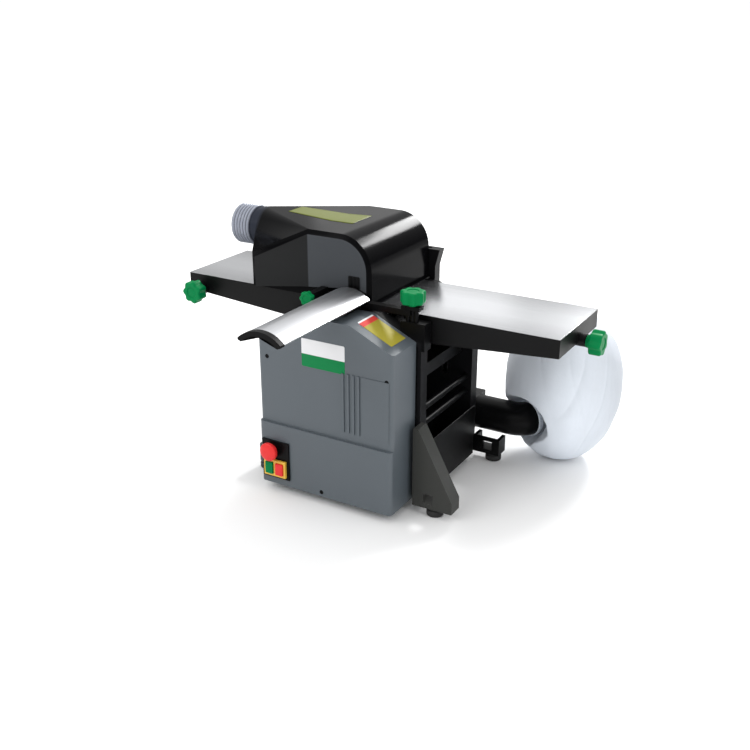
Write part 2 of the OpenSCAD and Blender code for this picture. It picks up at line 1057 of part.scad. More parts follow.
module depth_knob() {
    color(green)
        translate([table_end_x + boss_l + lie_gap, depth_knob_y, table_h - knob_drop])
            rotate([0, 90, 0]) {
                star_knob(knob_r, knob_h, hub_h);
                translate([0, 0, -boss_l - skirt_t])
                    cylinder(r = stem_r, h = boss_l + skirt_t + over);
            }
}

module lock_knob() {
    color(green)
        translate([-lock_knob_x, -table_w / 2 - boss_l / 2 - lie_gap, table_h - knob_drop])
            rotate([90, 0, 0]) {
                star_knob(knob_r, knob_h, hub_h);
                translate([0, 0, -boss_l / 2 - skirt_t])
                    cylinder(r = stem_r, h = boss_l / 2 + skirt_t + over);
            }
}

// Cutter
module knife_slots(extra) {
    for (i = [0 : knives - 1])
        translate([0, 0, cutter_z])
            rotate([0, i * 360 / knives, 0])
                block(
                    [-wedge_t, knife_t],
                    [-cutter_l / 2 - extra, cutter_l / 2 + extra],
                    [block_r - knife_d, cut_r]
                );
}

module cutter_block() {
    color("#8f9499") {
        difference() {
            bar_y(block_r, [-cutter_l / 2, cutter_l / 2], [0, cutter_z]);
            knife_slots(over);
        }
        bar_y(shaft_r, [-web_y, -cutter_l / 2], [0, cutter_z]);
        bar_y(shaft_r, [cutter_l / 2, web_y + tail_l], [0, cutter_z]);
        bar_y(nose_r, [belt_layer - pulley_w - over, -web_y], [0, cutter_z]);
    }
}

module cutter_knives() {
    color(steel)
        for (i = [0 : knives - 1])
            translate([0, 0, cutter_z])
                rotate([0, i * 360 / knives, 0])
                    block([0, knife_t], [-cutter_l / 2, cutter_l / 2], [block_r - knife_d, cut_r - end_gap]);
}

module knife_wedges() {
    color("#5c6064")
        for (i = [0 : knives - 1])
            translate([0, 0, cutter_z])
                rotate([0, i * 360 / knives, 0])
                    block(
                        [-wedge_t, 0],
                        [-cutter_l / 2, cutter_l / 2],
                        [block_r - knife_d, block_r - knife_d + wedge_d]
                    );
}

module cutter_bearings() {
    color(steel)
        both_y()
            difference() {
                bar_y(bearing_r, [-web_y, -wall_y], [0, cutter_z]);
                bar_y(shaft_r + run_gap, [-web_y - over, -wall_y + over], [0, cutter_z]);
            }
}

module belt_pulley(r, at, bore) {
    front = belt_layer - pulley_w;
    rim = (pulley_w - belt_w) / 2 - lie_gap;
    difference() {
        union() {
            bar_y(r - belt_t, [front, belt_layer], at);
            bar_y(r + belt_t / 2, [front, front + rim], at);
            bar_y(r + belt_t / 2, [belt_layer - rim, belt_layer], at);
        }
        bar_y(bore, [front - over, belt_layer + over], at);
    }
}

module cutter_pulley() {
    color("#9aa0a5")
        belt_pulley(pulley_r, [0, cutter_z], nose_r);
}

module cutter_pinion() {
    color("#8a8f94")
        difference() {
            gear(pinion_teeth, 3, train_at(0), 0);
            bar_y(nose_r, [layer_y(4), layer_y(2)], train_at(0));
        }
}

// A large gear with the next small gear or chain wheel on its hub
module stage_gear(i) {
    at = train_at(i);
    color("#caa25a")
        difference() {
            union() {
                gear(gear_teeth, 4 - i, at, 180 / gear_teeth);
                if (i < 3) {
                    gear(pinion_teeth, 3 - i, at, 0);
                    bar_y(hub_r, [layer_y(4 - i) - gear_w, layer_y(3 - i)], at);
                } else {
                    bar_y(drive_r - chain_t - lie_gap, [layer_y(0) - gear_w, layer_y(0)], at);
                    bar_y(hub_r, [layer_y(1) - gear_w, layer_y(0)], at);
                }
            }
            bar_y(stud_r + run_gap, [layer_y(5), -web_y], at);
        }
}

module first_gear() {
    stage_gear(1);
}

module second_gear() {
    stage_gear(2);
}

module third_gear() {
    stage_gear(3);
}

module gear_studs() {
    color(steel)
        for (i = [1 : 3]) {
            at = train_at(i);
            bar_y(stud_r, [layer_y(4 - i) - gear_w - layer_gap / 2, -web_y], at);
            bar_y(hub_r, [-web_y - layer_gap + lie_gap, -web_y], at);
        }
}

module feed_chain() {
    drive = train_at(3);
    color("#6d7276")
        translate([0, chain_layer - (gear_w - chain_w) / 2, 0])
            rotate([90, 0, 0])
                loop(
                    [
                        [drive[0], drive[1], drive_r - chain_t],
                        [roller_x, roller_z, wheel_r - chain_t],
                        [-roller_x, roller_z, wheel_r - chain_t]
                    ],
                    chain_t * 2,
                    chain_w
                );
}

module drive_belt() {
    color(black)
        translate([0, belt_layer - (pulley_w - belt_w) / 2, 0])
            rotate([90, 0, 0])
                loop(
                    [
                        [0, cutter_z, pulley_r - belt_t + lie_gap],
                        [motor_x, motor_z, motor_pulley_r - belt_t + lie_gap]
                    ],
                    belt_t,
                    belt_w
                );
}

module roller_shaft(x) {
    bar_y(roller_shaft_r, [chain_layer - gear_w, web_y], [x, roller_z]);
    bar_y(wheel_r - chain_t - lie_gap, [chain_layer - gear_w, chain_layer], [x, roller_z]);
}

module infeed_roller() {
    color("#9a9fa3") {
        translate([-roller_x, roller_l / 2, roller_z])
            rotate([90, 0, 0])
                linear_extrude(height = roller_l)
                    polygon([
                        for (i = [0 : grooves * 2 - 1])
                            roller_r * (i % 2 == 0 ? 1 : groove_share)
                            * [cos(i * 180 / grooves), sin(i * 180 / grooves)]
                    ]);
        roller_shaft(-roller_x);
    }
}

module outfeed_roller() {
    color("#4a4d50") {
        bar_y(roller_r, [-roller_l / 2, roller_l / 2], [roller_x, roller_z]);
        roller_shaft(roller_x);
    }
}

module roller_bushes() {
    color("#b48a3c")
        both_y()
            for (x = [-roller_x, roller_x])
                difference() {
                    bar_y(bush_r, [-web_y, -wall_y], [x, roller_z]);
                    bar_y(roller_shaft_r + run_gap, [-web_y - over, -wall_y + over], [x, roller_z]);
                }
}

module pawl_rod() {
    color(steel)
        bar_y(pawl_rod_r, [-web_y, web_y], [-pawl_x, pawl_z]);
}

module kickback_pawls() {
    tip = [-pawl_x + pawl_lean, pawl_z - pawl_l];
    color("#7c8185")
        for (i = [0 : pawls - 1]) {
            y = (i - (pawls - 1) / 2) * pawl_pitch;
            difference() {
                union() {
                    bar_y(pawl_r, [y - pawl_t / 2, y + pawl_t / 2], [-pawl_x, pawl_z]);
                    face_y(
                        [
                            [-pawl_x + pawl_r, pawl_z],
                            tip,
                            [tip[0] - pawl_w, tip[1]],
                            [-pawl_x - pawl_r, pawl_z]
                        ],
                        [y - pawl_t / 2, y + pawl_t / 2]
                    );
                }
                bar_y(pawl_rod_r + run_gap, [y - pawl_t, y + pawl_t], [-pawl_x, pawl_z]);
            }
        }
}

// Motor and suction
module motor() {
    color("#3a3d40")
        difference() {
            union() {
                bar_y(motor_r, [-motor_half_l, motor_half_l], [motor_x, motor_z]);
                block(
                    [motor_x - motor_foot_w / 2, motor_x + motor_foot_w / 2],
                    [-motor_half_l * motor_foot_share, motor_half_l * motor_foot_share],
                    [frame_z + base_t, motor_z]
                );
                bar_y(motor_r * motor_nose_share, [-wall_y, wall_y], [motor_x, motor_z]);
            }
            for (i = [1 : motor_fins])
                difference() {
                    bar_y(
                        motor_r + over,
                        [-motor_half_l + i * motor_half_l * 2 / (motor_fins + 1) - fin_w,
                         -motor_half_l + i * motor_half_l * 2 / (motor_fins + 1)],
                        [motor_x, motor_z]
                    );
                    bar_y(motor_r - fin_d, [-motor_half_l, motor_half_l], [motor_x, motor_z]);
                    block(
                        [motor_x - motor_foot_w / 2, motor_x + motor_foot_w / 2],
                        [-motor_half_l, motor_half_l],
                        [0, motor_z]
                    );
                }
            bar_y(motor_shaft_r + run_gap, [-wall_y - over, wall_y + over], [motor_x, motor_z]);
        }
}

module motor_shaft() {
    wheel_y = fan_y0 + fan_t + wheel_back;
    color("#9aa0a5") {
        bar_y(motor_shaft_r, [belt_layer - pulley_w, wheel_y + blade_h], [motor_x, motor_z]);
        belt_pulley(motor_pulley_r, [motor_x, motor_z], motor_shaft_r - over);
    }
}

module fan_wheel() {
    y0 = fan_y0 + fan_t + wheel_back;
    color("#44484c")
        difference() {
            union() {
                bar_y(fan_wheel_r, [y0, y0 + fan_t], [motor_x, motor_z]);
                bar_y(motor_shaft_r * 2, [y0, y0 + blade_h], [motor_x, motor_z]);
                for (i = [0 : fan_blades - 1])
                    translate([motor_x, 0, motor_z])
                        rotate([0, i * 360 / fan_blades, 0])
                            block(
                                [motor_shaft_r, fan_wheel_r],
                                [y0, y0 + blade_h],
                                [-blade_t / 2, blade_t / 2]
                            );
            }
            bar_y(motor_shaft_r, [y0 - over, y0 + blade_h + over], [motor_x, motor_z]);
        }
}

module at_pipe_end() {
    translate([
        elbow_x + elbow_r * sin(elbow_turn),
        pipe_y + elbow_r * (1 - cos(elbow_turn)),
        pipe_z
    ])
        rotate([0, 0, elbow_turn])
            rotate([0, 90, 0])
                children();
}

module fan_case() {
    end = motor_x + pipe_start;
    axis = [motor_x, motor_z];
    z = [pipe_z - pipe_r, pipe_z + pipe_r];
    color(black)
        difference() {
            union() {
                bar_y(fan_r, [fan_y0, fan_y1], axis);
                block([motor_x, end], [fan_y0, fan_y1], z);
                bar_y(inlet_r, [fan_y1, fan_y1 + inlet_l], axis);
            }
            bar_y(fan_r - fan_t, [fan_y0 + fan_t, fan_y1 - fan_t], axis);
            block([motor_x, end - fan_t], [fan_y0 + fan_t, fan_y1 - fan_t], [z[0] + fan_t, z[1] - fan_t]);
            bar_x(pipe_r - pipe_t - over, [end - fan_t - over, end + over], [pipe_y, pipe_z]);
            bar_y(inlet_r - pipe_t, [fan_y1 - fan_t - over, fan_y1 + inlet_l + over], axis);
            bar_y(motor_shaft_r + lie_gap * 2, [fan_y0 - over, fan_y0 + fan_t + over], axis);
        }
}

module outlet_pipe() {
    start = motor_x + pipe_start;
    color(black) {
        difference() {
            bar_x(pipe_r, [start, elbow_x - seat_gap], [pipe_y, pipe_z]);
            bar_x(pipe_r - pipe_t, [start - over, elbow_x + over], [pipe_y, pipe_z]);
        }
        translate([elbow_x, pipe_y + elbow_r, pipe_z])
            rotate([0, 0, -90])
                rotate_extrude(angle = elbow_turn)
                    translate([elbow_r, 0])
                        difference() {
                            circle(r = pipe_r);
                            circle(r = pipe_r - pipe_t);
                        }
        at_pipe_end()
            translate([0, 0, seat_gap])
                difference() {
                    cylinder(r = pipe_r, h = spigot_l);
                    translate([0, 0, -over])
                        cylinder(r = pipe_r - pipe_t, h = spigot_l + over * 2);
                }
    }
}

module bag_clamp() {
    inner = pipe_r + bag_skin + seat_gap;
    color(steel)
        at_pipe_end()
            translate([0, 0, (spigot_l - clamp_w) / 2])
                difference() {
                    cylinder(r = inner + clamp_t, h = clamp_w);
                    translate([0, 0, -over])
                        cylinder(r = inner, h = clamp_w + over * 2);
                }
}

module bag_dent() {
    floor_z = spigot_l - dent_in;
    bar_x(pipe_r + dent_step, [elbow_x - dent_l, elbow_x], [pipe_y, pipe_z]);
    at_pipe_end() {
        translate([0, 0, floor_z - dent_l])
            cylinder(r = dent_r, h = dent_l);
        translate([0, 0, floor_z - dent_step - dent_r * sin(dent_tip)])
            rotate([-dent_tip, 0, 0])
                translate([0, 0, -dent_l])
                    cylinder(r1 = dent_r + dent_flare, r2 = dent_r - dent_step, h = dent_l);
    }
}

module chip_bag() {
    color("#eef3f8")
        difference() {
            union() {
                difference() {
                    translate([bag_at[0], bag_at[1], 0])
                        rotate_extrude()
                            polygon([for (share = bag_shares) [share[0] * bag_r, share[1] * bag_h]]);
                    bag_dent();
                }
                at_pipe_end()
                    cylinder(r = pipe_r + bag_skin, h = neck_len);
            }
            at_pipe_end()
                translate([0, 0, -over])
                    cylinder(r = pipe_r + seat_gap, h = spigot_l + over + lie_gap);
        }
}

// Thicknesser bed
module bed_table() {
    side = wall_y - bed_side;
    color(steel)
        difference() {
            union() {
                block([-bed_x, bed_x], [-side, side], [bed_top - bed_t, bed_top]);
                both_y()
                    block(
                        [-bed_x, bed_x],
                        [-side, -side + skirt_t],
                        [bed_top - bed_t - bed_rib_d, bed_top - bed_t]
                    );
                for (x = [-bed_x, -screw_x, -bed_rib_x, bed_rib_x - rib_t, screw_x - rib_t, bed_x - rib_t])
                    block([x, x + rib_t], [-side, side], [bed_top - bed_t - bed_rib_d, bed_top - bed_t]);
                both_y()
                    for (x = [-screw_x, screw_x]) {
                        block([x - lug_x / 2, x + lug_x / 2], [-screw_y, -side + skirt_t], lug_z);
                        bar_z(nut_r, lug_z, [x, -screw_y]);
                    }
            }
            for (x = [-screw_x, screw_x], y = [-screw_y, screw_y])
                bar_z(screw_r + run_gap, [lug_z[0] - over, lug_z[1] + over], [x, y]);
        }
}

// A notched wheel whose axis is Z
module cross_wheel() {
    difference() {
        translate([0, 0, -cross_w / 2])
            cylinder(r = cross_r, h = cross_w);
        for (i = [0 : cross_teeth - 1])
            rotate([0, 0, i * 360 / cross_teeth])
                block(
                    [cross_r * cross_root_share, cross_r + over],
                    [-cross_notch / 2, cross_notch / 2],
                    [-cross_w, cross_w]
                );
    }
}

module lead_screw(i) {
    at = [i % 2 == 0 ? screw_x : -screw_x, i < 2 ? -screw_y : screw_y];
    color("#b0b4b8") {
        bar_z(screw_r, [frame_z + wall_t + lie_gap, screw_top], at);
        bar_z(journal_r, [lift_z, frame_z + wall_t + lie_gap], at);
        bar_z(lift_r - chain_t - lie_gap, [lift_z, lift_z + lift_w], at);
        if (i == 3)
            translate([at[0], at[1], crank_z])
                cross_wheel();
    }
}

module lead_screw_1() {
    lead_screw(0);
}

module lead_screw_2() {
    lead_screw(1);
}

module lead_screw_3() {
    lead_screw(2);
}

module lead_screw_4() {
    lead_screw(3);
}

module lift_chain() {
    color("#6d7276")
        translate([0, 0, lift_z + (lift_w - chain_w) / 2])
            loop(
                [for (x = [-screw_x, screw_x], y = [-screw_y, screw_y]) [x, y, lift_r - chain_t]],
                chain_t * 2,
                chain_w
            );
}

module crank() {
    foot = crank_z - crank_throw;
    pin_end = crank_y + crank_t + grip_l + lie_gap * 2;
    color("#55595d") {
        bar_y(crank_r, [web_y + lie_gap, crank_y + crank_t], [crank_x, crank_z]);
        translate([crank_x, screw_y, crank_z])
            rotate([90, 0, 0])
                cross_wheel();
        for (z = [foot, crank_z])
            bar_y(crank_t, [crank_y, crank_y + crank_t], [crank_x, z]);
        block(
            [crank_x - crank_t * crank_web_share, crank_x + crank_t * crank_web_share],
            [crank_y, crank_y + crank_t],
            [foot, crank_z]
        );
        bar_y(grip_pin_r, [crank_y, pin_end], [crank_x, foot]);
        bar_y(grip_head_r, [pin_end, pin_end + grip_head_t], [crank_x, foot]);
    }
}

module crank_grip() {
    y = [crank_y + crank_t + lie_gap, crank_y + crank_t + lie_gap + grip_l];
    at = [crank_x, crank_z - crank_throw];
    color(black)
        difference() {
            union() {
                bar_y(grip_r * grip_neck_share, y, at);
                bar_y(grip_r, [y[0] + grip_l * grip_end_share, y[1] - grip_l * grip_end_share], at);
            }
            bar_y(grip_pin_r + run_gap, [y[0] - over, y[1] + over], at);
        }
}

// Bridge guard
module arch_band(outer, inner, y) {
    intersection() {
        difference() {
            bar_y(outer, y, [0, guard_arc_z]);
            bar_y(inner, [y[0] - over, y[1] + over], [0, guard_arc_z]);
        }
        block([-guard_w / 2, guard_w / 2], y, [guard_z - cap_t / 2, guard_arc_z + outer + over]);
    }
}

module bridge_guard() {
    front = guard_back - guard_l;
    color(steel) {
        arch_band(guard_arc_r, guard_arc_r - guard_t, [front + cap_l - cap_lap, guard_back]);
        both_x()
            block(
                [guard_w / 2 - guard_lip, guard_w / 2],
                [front + cap_l, guard_back],
                [guard_z - guard_lip, guard_z]
            );
    }
    color(dark)
        arch_band(guard_arc_r + over, guard_arc_r - cap_t, [front, front + cap_l]);
}

module guard_arm() {
    color(black)
        difference() {
            union() {
                block([arm_left, post_x], arm_y, arm_z);
                intersection() {
                    bar_y(guard_arc_r - guard_t - lie_gap, [saddle_y, arm_y[1]], [0, guard_arc_z]);
                    block([-saddle_x, saddle_x], [saddle_y, arm_y[1]], [arm_z[0], table_h + hood_h]);
                }
                block(
                    [post_x - bridge_w / 2, post_x + bridge_w / 2],
                    [post_y - rod_gap, post_y + rod_gap],
                    bridge_z
                );
                block([post_x - bridge_w / 2, post_x - bridge_w / 4], arm_y, [arm_z[0], bridge_z[1]]);
                for (side = [-1, 1])
                    bar_z(rod_r, [bridge_z[0] - rod_below, bridge_z[1]], [post_x + side * rod_gap, post_y]);
                block(
                    [clamp_x - clamp_ear, clamp_x + clamp_ear],
                    [clamp_face_y, arm_y[1]],
                    [arm_z[0], clamp_z + clamp_ear]
                );
            }
            bar_z(spindle_r + run_gap, [arm_z[0] - over, bridge_z[1] + over], [post_x, post_y]);
            bar_y(spindle_r + run_gap, [saddle_y, arm_y[1] + over], [clamp_x, clamp_z]);
        }
}

module guard_height_knob() {
    color(green)
        translate([post_x, post_y, bridge_z[1] + lie_gap]) {
            star_knob(knob_r, knob_h, hub_h / 2);
            translate([0, 0, -spindle_below])
                cylinder(r = spindle_r, h = spindle_below + over);
        }
}

module post_foot() {
    color(black)
        difference() {
            block(post_foot_x, [-wall_out, -wall_y], [shoulder_z - wall_t * 2, post_foot_top]);
            face_y(wall_outline(0), [-wall_out - over, -wall_y + over]);
            for (side = [-1, 1])
                bar_z(rod_r + run_gap, [0, table_h], [post_x + side * rod_gap, post_y]);
            bar_z(spindle_r + run_gap, [0, table_h], [post_x, post_y]);
        }
}

module guard_clamp_knob() {
    color(green)
        translate([clamp_x, clamp_face_y - lie_gap, clamp_z])
            rotate([90, 0, 0]) {
                star_knob(clamp_knob_r, clamp_knob_h, clamp_hub_h);
                translate([0, 0, clamp_face_y - arm_y[1]])
                    cylinder(r = spindle_r, h = arm_y[1] - clamp_face_y + over);
            }
}

// Chip hood
module hood_body(inset) {
    y = [-hood_front + inset, hood_back - inset];
    top = hood_z + hood_h - inset;
    right = hood_right - inset;
    round_r = hood_r - inset;
    left = -hood_left + inset;
    union() {
        block([crease_x, right - round_r], y, [hood_z - over, top]);
        block([crease_x, right], y, [hood_z - over, top - round_r]);
        bar_y(round_r, y, [right - round_r, top - round_r]);
        hull() {
            block([crease_x - over, crease_x + over], y, [hood_z - over, top]);
            block([left, left + over], y, [hood_z - over, hood_z + side_h - inset]);
            bar_x(neck_r - inset, [neck_x, neck_x + over], [hood_mid_y, outlet_z]);
        }
    }
}

module hood_face() {
    proud = -hood_front - face_proud;
    hull() {
        for (step = [[over, -hood_front], [face_inset, proud]]) {
            face_y(
                [
                    [-hood_left + step[0], hood_z],
                    [-hood_left + step[0], hood_z + side_h - step[0]],
                    [crease_x, hood_z + hood_h - step[0]],
                    [hood_right - hood_r, hood_z + hood_h - step[0]]
                ],
                [step[1], step[1] + over]
            );
            bar_y(
                hood_r - step[0],
                [step[1], step[1] + over],
                [hood_right - hood_r, hood_z + hood_h - hood_r]
            );
            block([0, hood_right - step[0]], [step[1], step[1] + over], [hood_z, hood_z + hood_h - hood_r]);
        }
    }
}

module chip_hood() {
    color(black)
        difference() {
            union() {
                hood_body(0);
                hood_face();
                block(
                    [hood_right - hood_t, hood_right + flange_w],
                    [-hood_front, hood_back],
                    [hood_z, hood_z + flange_t]
                );
                bar_x(outlet_r, [collar_end, neck_x], [hood_mid_y, outlet_z]);
                bar_x(neck_r - over, [collar_end + collar_band, neck_x], [hood_mid_y, outlet_z]);
                block(
                    latch_x,
                    [-hood_front - latch_t, -hood_front],
                    [hood_z + latch_z[0], hood_z + latch_z[1]]
                );
            }
            hood_body(hood_t);
            bar_x(outlet_r - collar_t, [collar_end - over, neck_x + neck_r], [hood_mid_y, outlet_z]);
            block([collar_end, table_end_x], [-housing_y, housing_y], [0, hood_z]);
            face_y(
                [
                    [-hood_left - over, hood_z - over],
                    [hood_right - face_inset, hood_z - over],
                    [hood_right - face_inset, hood_z + face_gap_right],
                    [face_gap_x[0], hood_z + face_gap_right],
                    [face_gap_x[1], hood_z + face_gap_mid],
                    [-hood_left + face_inset, hood_z]
                ],
                [-hood_front - face_proud - over, -hood_front]
            );
        }
}

module outlet_sleeve() {
    start = collar_end + sleeve_lap;
    end = start - sleeve_l;
    outer = outlet_r + sleeve_step + sleeve_t;
    at = [hood_mid_y, outlet_z];
    color("#a9b3bd")
        difference() {
            union() {
                bar_x(outer, [end, start], at);
                for (i = [1 : sleeve_ribs])
                    translate([end + i * sleeve_l / (sleeve_ribs + 1), hood_mid_y, outlet_z])
                        rotate([0, 90, 0])
                            rotate_extrude()
                                translate([outer, 0])
                                    circle(r = sleeve_rib_r, $fn = 16);
            }
            bar_x(outlet_r + run_gap, [end - over, start + over], at);
            bar_x(outlet_r + sleeve_step, [end - over, collar_end], at);
        }
}

module fence_bracket() {
    head_z = bracket_z[1] - bracket_head;
    color(dark)
        difference() {
            union() {
                face_y(
                    [
                        [bracket_x[0], head_z],
                        [bracket_neck_x, head_z],
                        [bracket_x[1], bracket_z[1]],
                        [bracket_x[0], bracket_z[1]]
                    ],
                    bracket_y
                );
                block([bracket_x[0], bracket_neck_x], bracket_y, [bracket_z[0], head_z]);
            }
            bar_z(bracket_hole_r, [bracket_z[0] - over, bracket_z[1] + over],
                [(bracket_x[0] + bracket_neck_x) / 2, (bracket_y[0] + bracket_y[1]) / 2]);
        }
}

base_case();
front_wall();
rear_wall();
wall_ties();
front_legs();
rear_legs();
rubber_feet();
front_housing();
housing_screws();
rear_cover();
switch_plate();
switch_pad();
stop_button();
start_button();
off_button();
cable_gland();
infeed_table();
outfeed_table();
depth_knob();
lock_knob();
cutter_block();
cutter_knives();
knife_wedges();
cutter_bearings();
cutter_pulley();
cutter_pinion();
first_gear();
second_gear();
third_gear();
gear_studs();
feed_chain();
drive_belt();
infeed_roller();
outfeed_roller();
roller_bushes();
pawl_rod();
kickback_pawls();
motor();
motor_shaft();
fan_wheel();
fan_case();
outlet_pipe();
bag_clamp();
chip_bag();
bed_table();
lead_screw_1();
lead_screw_2();
lead_screw_3();
lead_screw_4();
lift_chain();
crank();
crank_grip();
guard_arm();
guard_height_knob();
post_foot();
guard_clamp_knob();
bridge_guard();
chip_hood();
outlet_sleeve();
fence_bracket();
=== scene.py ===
import json
import math

import bmesh
import bpy
import numpy as np
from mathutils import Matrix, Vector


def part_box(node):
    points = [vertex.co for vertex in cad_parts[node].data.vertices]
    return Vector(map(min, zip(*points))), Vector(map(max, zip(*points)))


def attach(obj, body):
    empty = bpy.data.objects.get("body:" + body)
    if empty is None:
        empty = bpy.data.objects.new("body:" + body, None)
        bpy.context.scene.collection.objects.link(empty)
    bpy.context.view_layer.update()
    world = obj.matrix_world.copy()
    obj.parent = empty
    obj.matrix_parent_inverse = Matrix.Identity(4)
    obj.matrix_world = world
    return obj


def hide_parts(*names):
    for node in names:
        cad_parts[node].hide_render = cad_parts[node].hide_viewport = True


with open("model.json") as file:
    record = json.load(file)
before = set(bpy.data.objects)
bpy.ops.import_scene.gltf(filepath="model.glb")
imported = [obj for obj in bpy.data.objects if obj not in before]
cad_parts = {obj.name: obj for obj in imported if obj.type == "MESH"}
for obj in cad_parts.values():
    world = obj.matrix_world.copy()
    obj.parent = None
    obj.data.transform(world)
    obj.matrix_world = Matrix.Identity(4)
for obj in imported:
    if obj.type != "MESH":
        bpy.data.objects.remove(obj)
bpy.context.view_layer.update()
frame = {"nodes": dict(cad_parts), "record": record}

bl_info = {
    "name": "Planer thicknesser looks",
    "version": (1, 0, 0),
    "blender": (4, 5, 0),
    "location": "View3D > Sidebar > Planer",
    "description": "Finishes, soft edges and trim of a combination planer thicknesser",
    "category": "Object",
}

NODES = frame["nodes"]
RECORD = frame["record"]
BODY_OF = {n: body for body, names in RECORD["behaviour"]["bodies"].items() for n in names}
SLOT_OF = {part["node"]: part["material_slot"] for part in RECORD["subparts"]}
X, Y, Z = np.eye(3)
# Radius of the ring that closes a turned shape at its axis.
POLE = 1e-5
# X at which the hood's roof starts to climb towards the outlet collar.
HOOD_FOLD = -0.108


def corners(node):
    """Lowest and highest corner of a solid as arrays."""
    low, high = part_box(node)
    return np.array(low), np.array(high)


class MachineSizes(bpy.types.PropertyGroup):
    """Sizes that a user may change."""

    edge: bpy.props.FloatProperty(
        name="Edge radius", description="Rounding of cast and folded edges", default=0.0014, unit="LENGTH"
    )
    knob_lobes: bpy.props.IntProperty(name="Knob lobes", description="Lobes round a hand knob", default=7)
    knob_dip: bpy.props.FloatProperty(
        name="Knob dip", description="Hollows between lobes, as a share of the radius", default=0.16
    )
    sleeve_ribs: bpy.props.IntProperty(name="Sleeve ribs", description="Ribs on the clear sleeve", default=6)
    bag_folds: bpy.props.IntProperty(name="Bag folds", description="Main folds round the chip bag", default=9)
    plate_t: bpy.props.FloatProperty(
        name="Plate thickness", description="Thickness of the stuck-on plates", default=0.0006, unit="LENGTH"
    )


class MachineColours(bpy.types.PropertyGroup):
    """Colours of the finishes."""

    housing: bpy.props.FloatVectorProperty(
        name="Housing", description="Grey of the housing", subtype="COLOR", default=(0.086, 0.103, 0.118)
    )
    black: bpy.props.FloatVectorProperty(
        name="Black", description="Frame and plastics", subtype="COLOR", default=(0.003, 0.003, 0.0033)
    )
    silver: bpy.props.FloatVectorProperty(
        name="Table", description="Machined table tops", subtype="COLOR", default=(0.66, 0.67, 0.69)
    )
    green: bpy.props.FloatVectorProperty(
        name="Knobs", description="Green of the hand knobs", subtype="COLOR", default=(0.0, 0.195, 0.056)
    )
    red: bpy.props.FloatVectorProperty(
        name="Stop", description="Red of the stop button", subtype="COLOR", default=(0.78, 0.028, 0.028)
    )
    yellow: bpy.props.FloatVectorProperty(
        name="Switch pad", description="Yellow of the switch pad", subtype="COLOR", default=(0.82, 0.5, 0.06)
    )
    bag: bpy.props.FloatVectorProperty(
        name="Bag", description="White of the chip bag", subtype="COLOR", default=(0.78, 0.83, 0.9)
    )


def sizes():
    """The sizes of this scene."""
    return bpy.context.scene.machine_sizes


def colours():
    """The colours of this scene."""
    return bpy.context.scene.machine_colours


# Shader groups


def new_group(name, inputs, outputs):
    """A shader group with its named sockets, and its two end nodes."""
    tree = bpy.data.node_groups.new(name, "ShaderNodeTree")
    for label, kind, value in inputs:
        socket = tree.interface.new_socket(name=label, in_out="INPUT", socket_type=kind)
        socket.default_value = value
    for label, kind in outputs:
        tree.interface.new_socket(name=label, in_out="OUTPUT", socket_type=kind)
    return tree, tree.nodes.new("NodeGroupInput"), tree.nodes.new("NodeGroupOutput")


def math_node(tree, operation, first, second=None, third=None):
    """One Math node whose inputs are sockets or numbers."""
    node = tree.nodes.new("ShaderNodeMath")
    node.operation = operation
    for index, value in enumerate((first, second, third)):
        if value is None:
            continue
        if isinstance(value, (int, float)):
            node.inputs[index].default_value = value
        else:
            tree.links.new(value, node.inputs[index])
    return node.outputs[0]


def noise_node(tree, vector, scale, detail):
    """Noise over a vector socket, between 0 and 1."""
    node = tree.nodes.new("ShaderNodeTexNoise")
    node.inputs["Detail"].default_value = detail
    tree.links.new(vector, node.inputs["Vector"])
    if isinstance(scale, (int, float)):
        node.inputs["Scale"].default_value = scale
    else:
        tree.links.new(scale, node.inputs["Scale"])
    return node.outputs[0]


def band(tree, value, low, high):
    """0 below low, 1 above high and a straight ramp between them."""
    node = tree.nodes.new("ShaderNodeMapRange")
    node.inputs["From Min"].default_value = low
    node.inputs["From Max"].default_value = high
    tree.links.new(value, node.inputs["Value"])
    return node.outputs[0]


def mixed(tree, factor, first, second):
    """Mix of two colours, each a socket or a tuple."""
    node = tree.nodes.new("ShaderNodeMix")
    node.data_type = "RGBA"
    tree.links.new(factor, node.inputs[0])
    for index, value in ((6, first), (7, second)):
        if isinstance(value, (tuple, list)):
            node.inputs[index].default_value = (*value[:3], 1.0)
        else:
            tree.links.new(value, node.inputs[index])
    return node.outputs[2]


def grain_group():
    """Moulded or painted grain: slow colour and gloss drift, and a fine height."""
    name = "Surface grain"
    if name in bpy.data.node_groups:
        return bpy.data.node_groups[name]
    tree, start, end = new_group(
        name,
        [
            ("Colour", "NodeSocketColor", (0.5, 0.5, 0.5, 1.0)),
            ("Drift", "NodeSocketFloat", 0.08),
            ("Roughness", "NodeSocketFloat", 0.4),
            ("Spread", "NodeSocketFloat", 0.12),
            ("Scale", "NodeSocketFloat", 900.0),
        ],
        [("Colour", "NodeSocketColor"), ("Roughness", "NodeSocketFloat"), ("Height", "NodeSocketFloat")],
    )
    place = tree.nodes.new("ShaderNodeTexCoord").outputs["Object"]
    slow = noise_node(tree, place, scale=14.0, detail=4.0)
    fine = noise_node(tree, place, start.outputs["Scale"], detail=2.0)
    swing = math_node(tree, "SUBTRACT", slow, 0.5)
    value = math_node(tree, "MULTIPLY_ADD", swing, start.outputs["Drift"], 1.0)
    tint = tree.nodes.new("ShaderNodeHueSaturation")
    tree.links.new(start.outputs["Colour"], tint.inputs["Color"])
    tree.links.new(value, tint.inputs["Value"])
    tree.links.new(tint.outputs["Color"], end.inputs["Colour"])
    rough = math_node(tree, "MULTIPLY_ADD", swing, start.outputs["Spread"], start.outputs["Roughness"])
    tree.links.new(rough, end.inputs["Roughness"])
    tree.links.new(fine, end.inputs["Height"])
    return tree


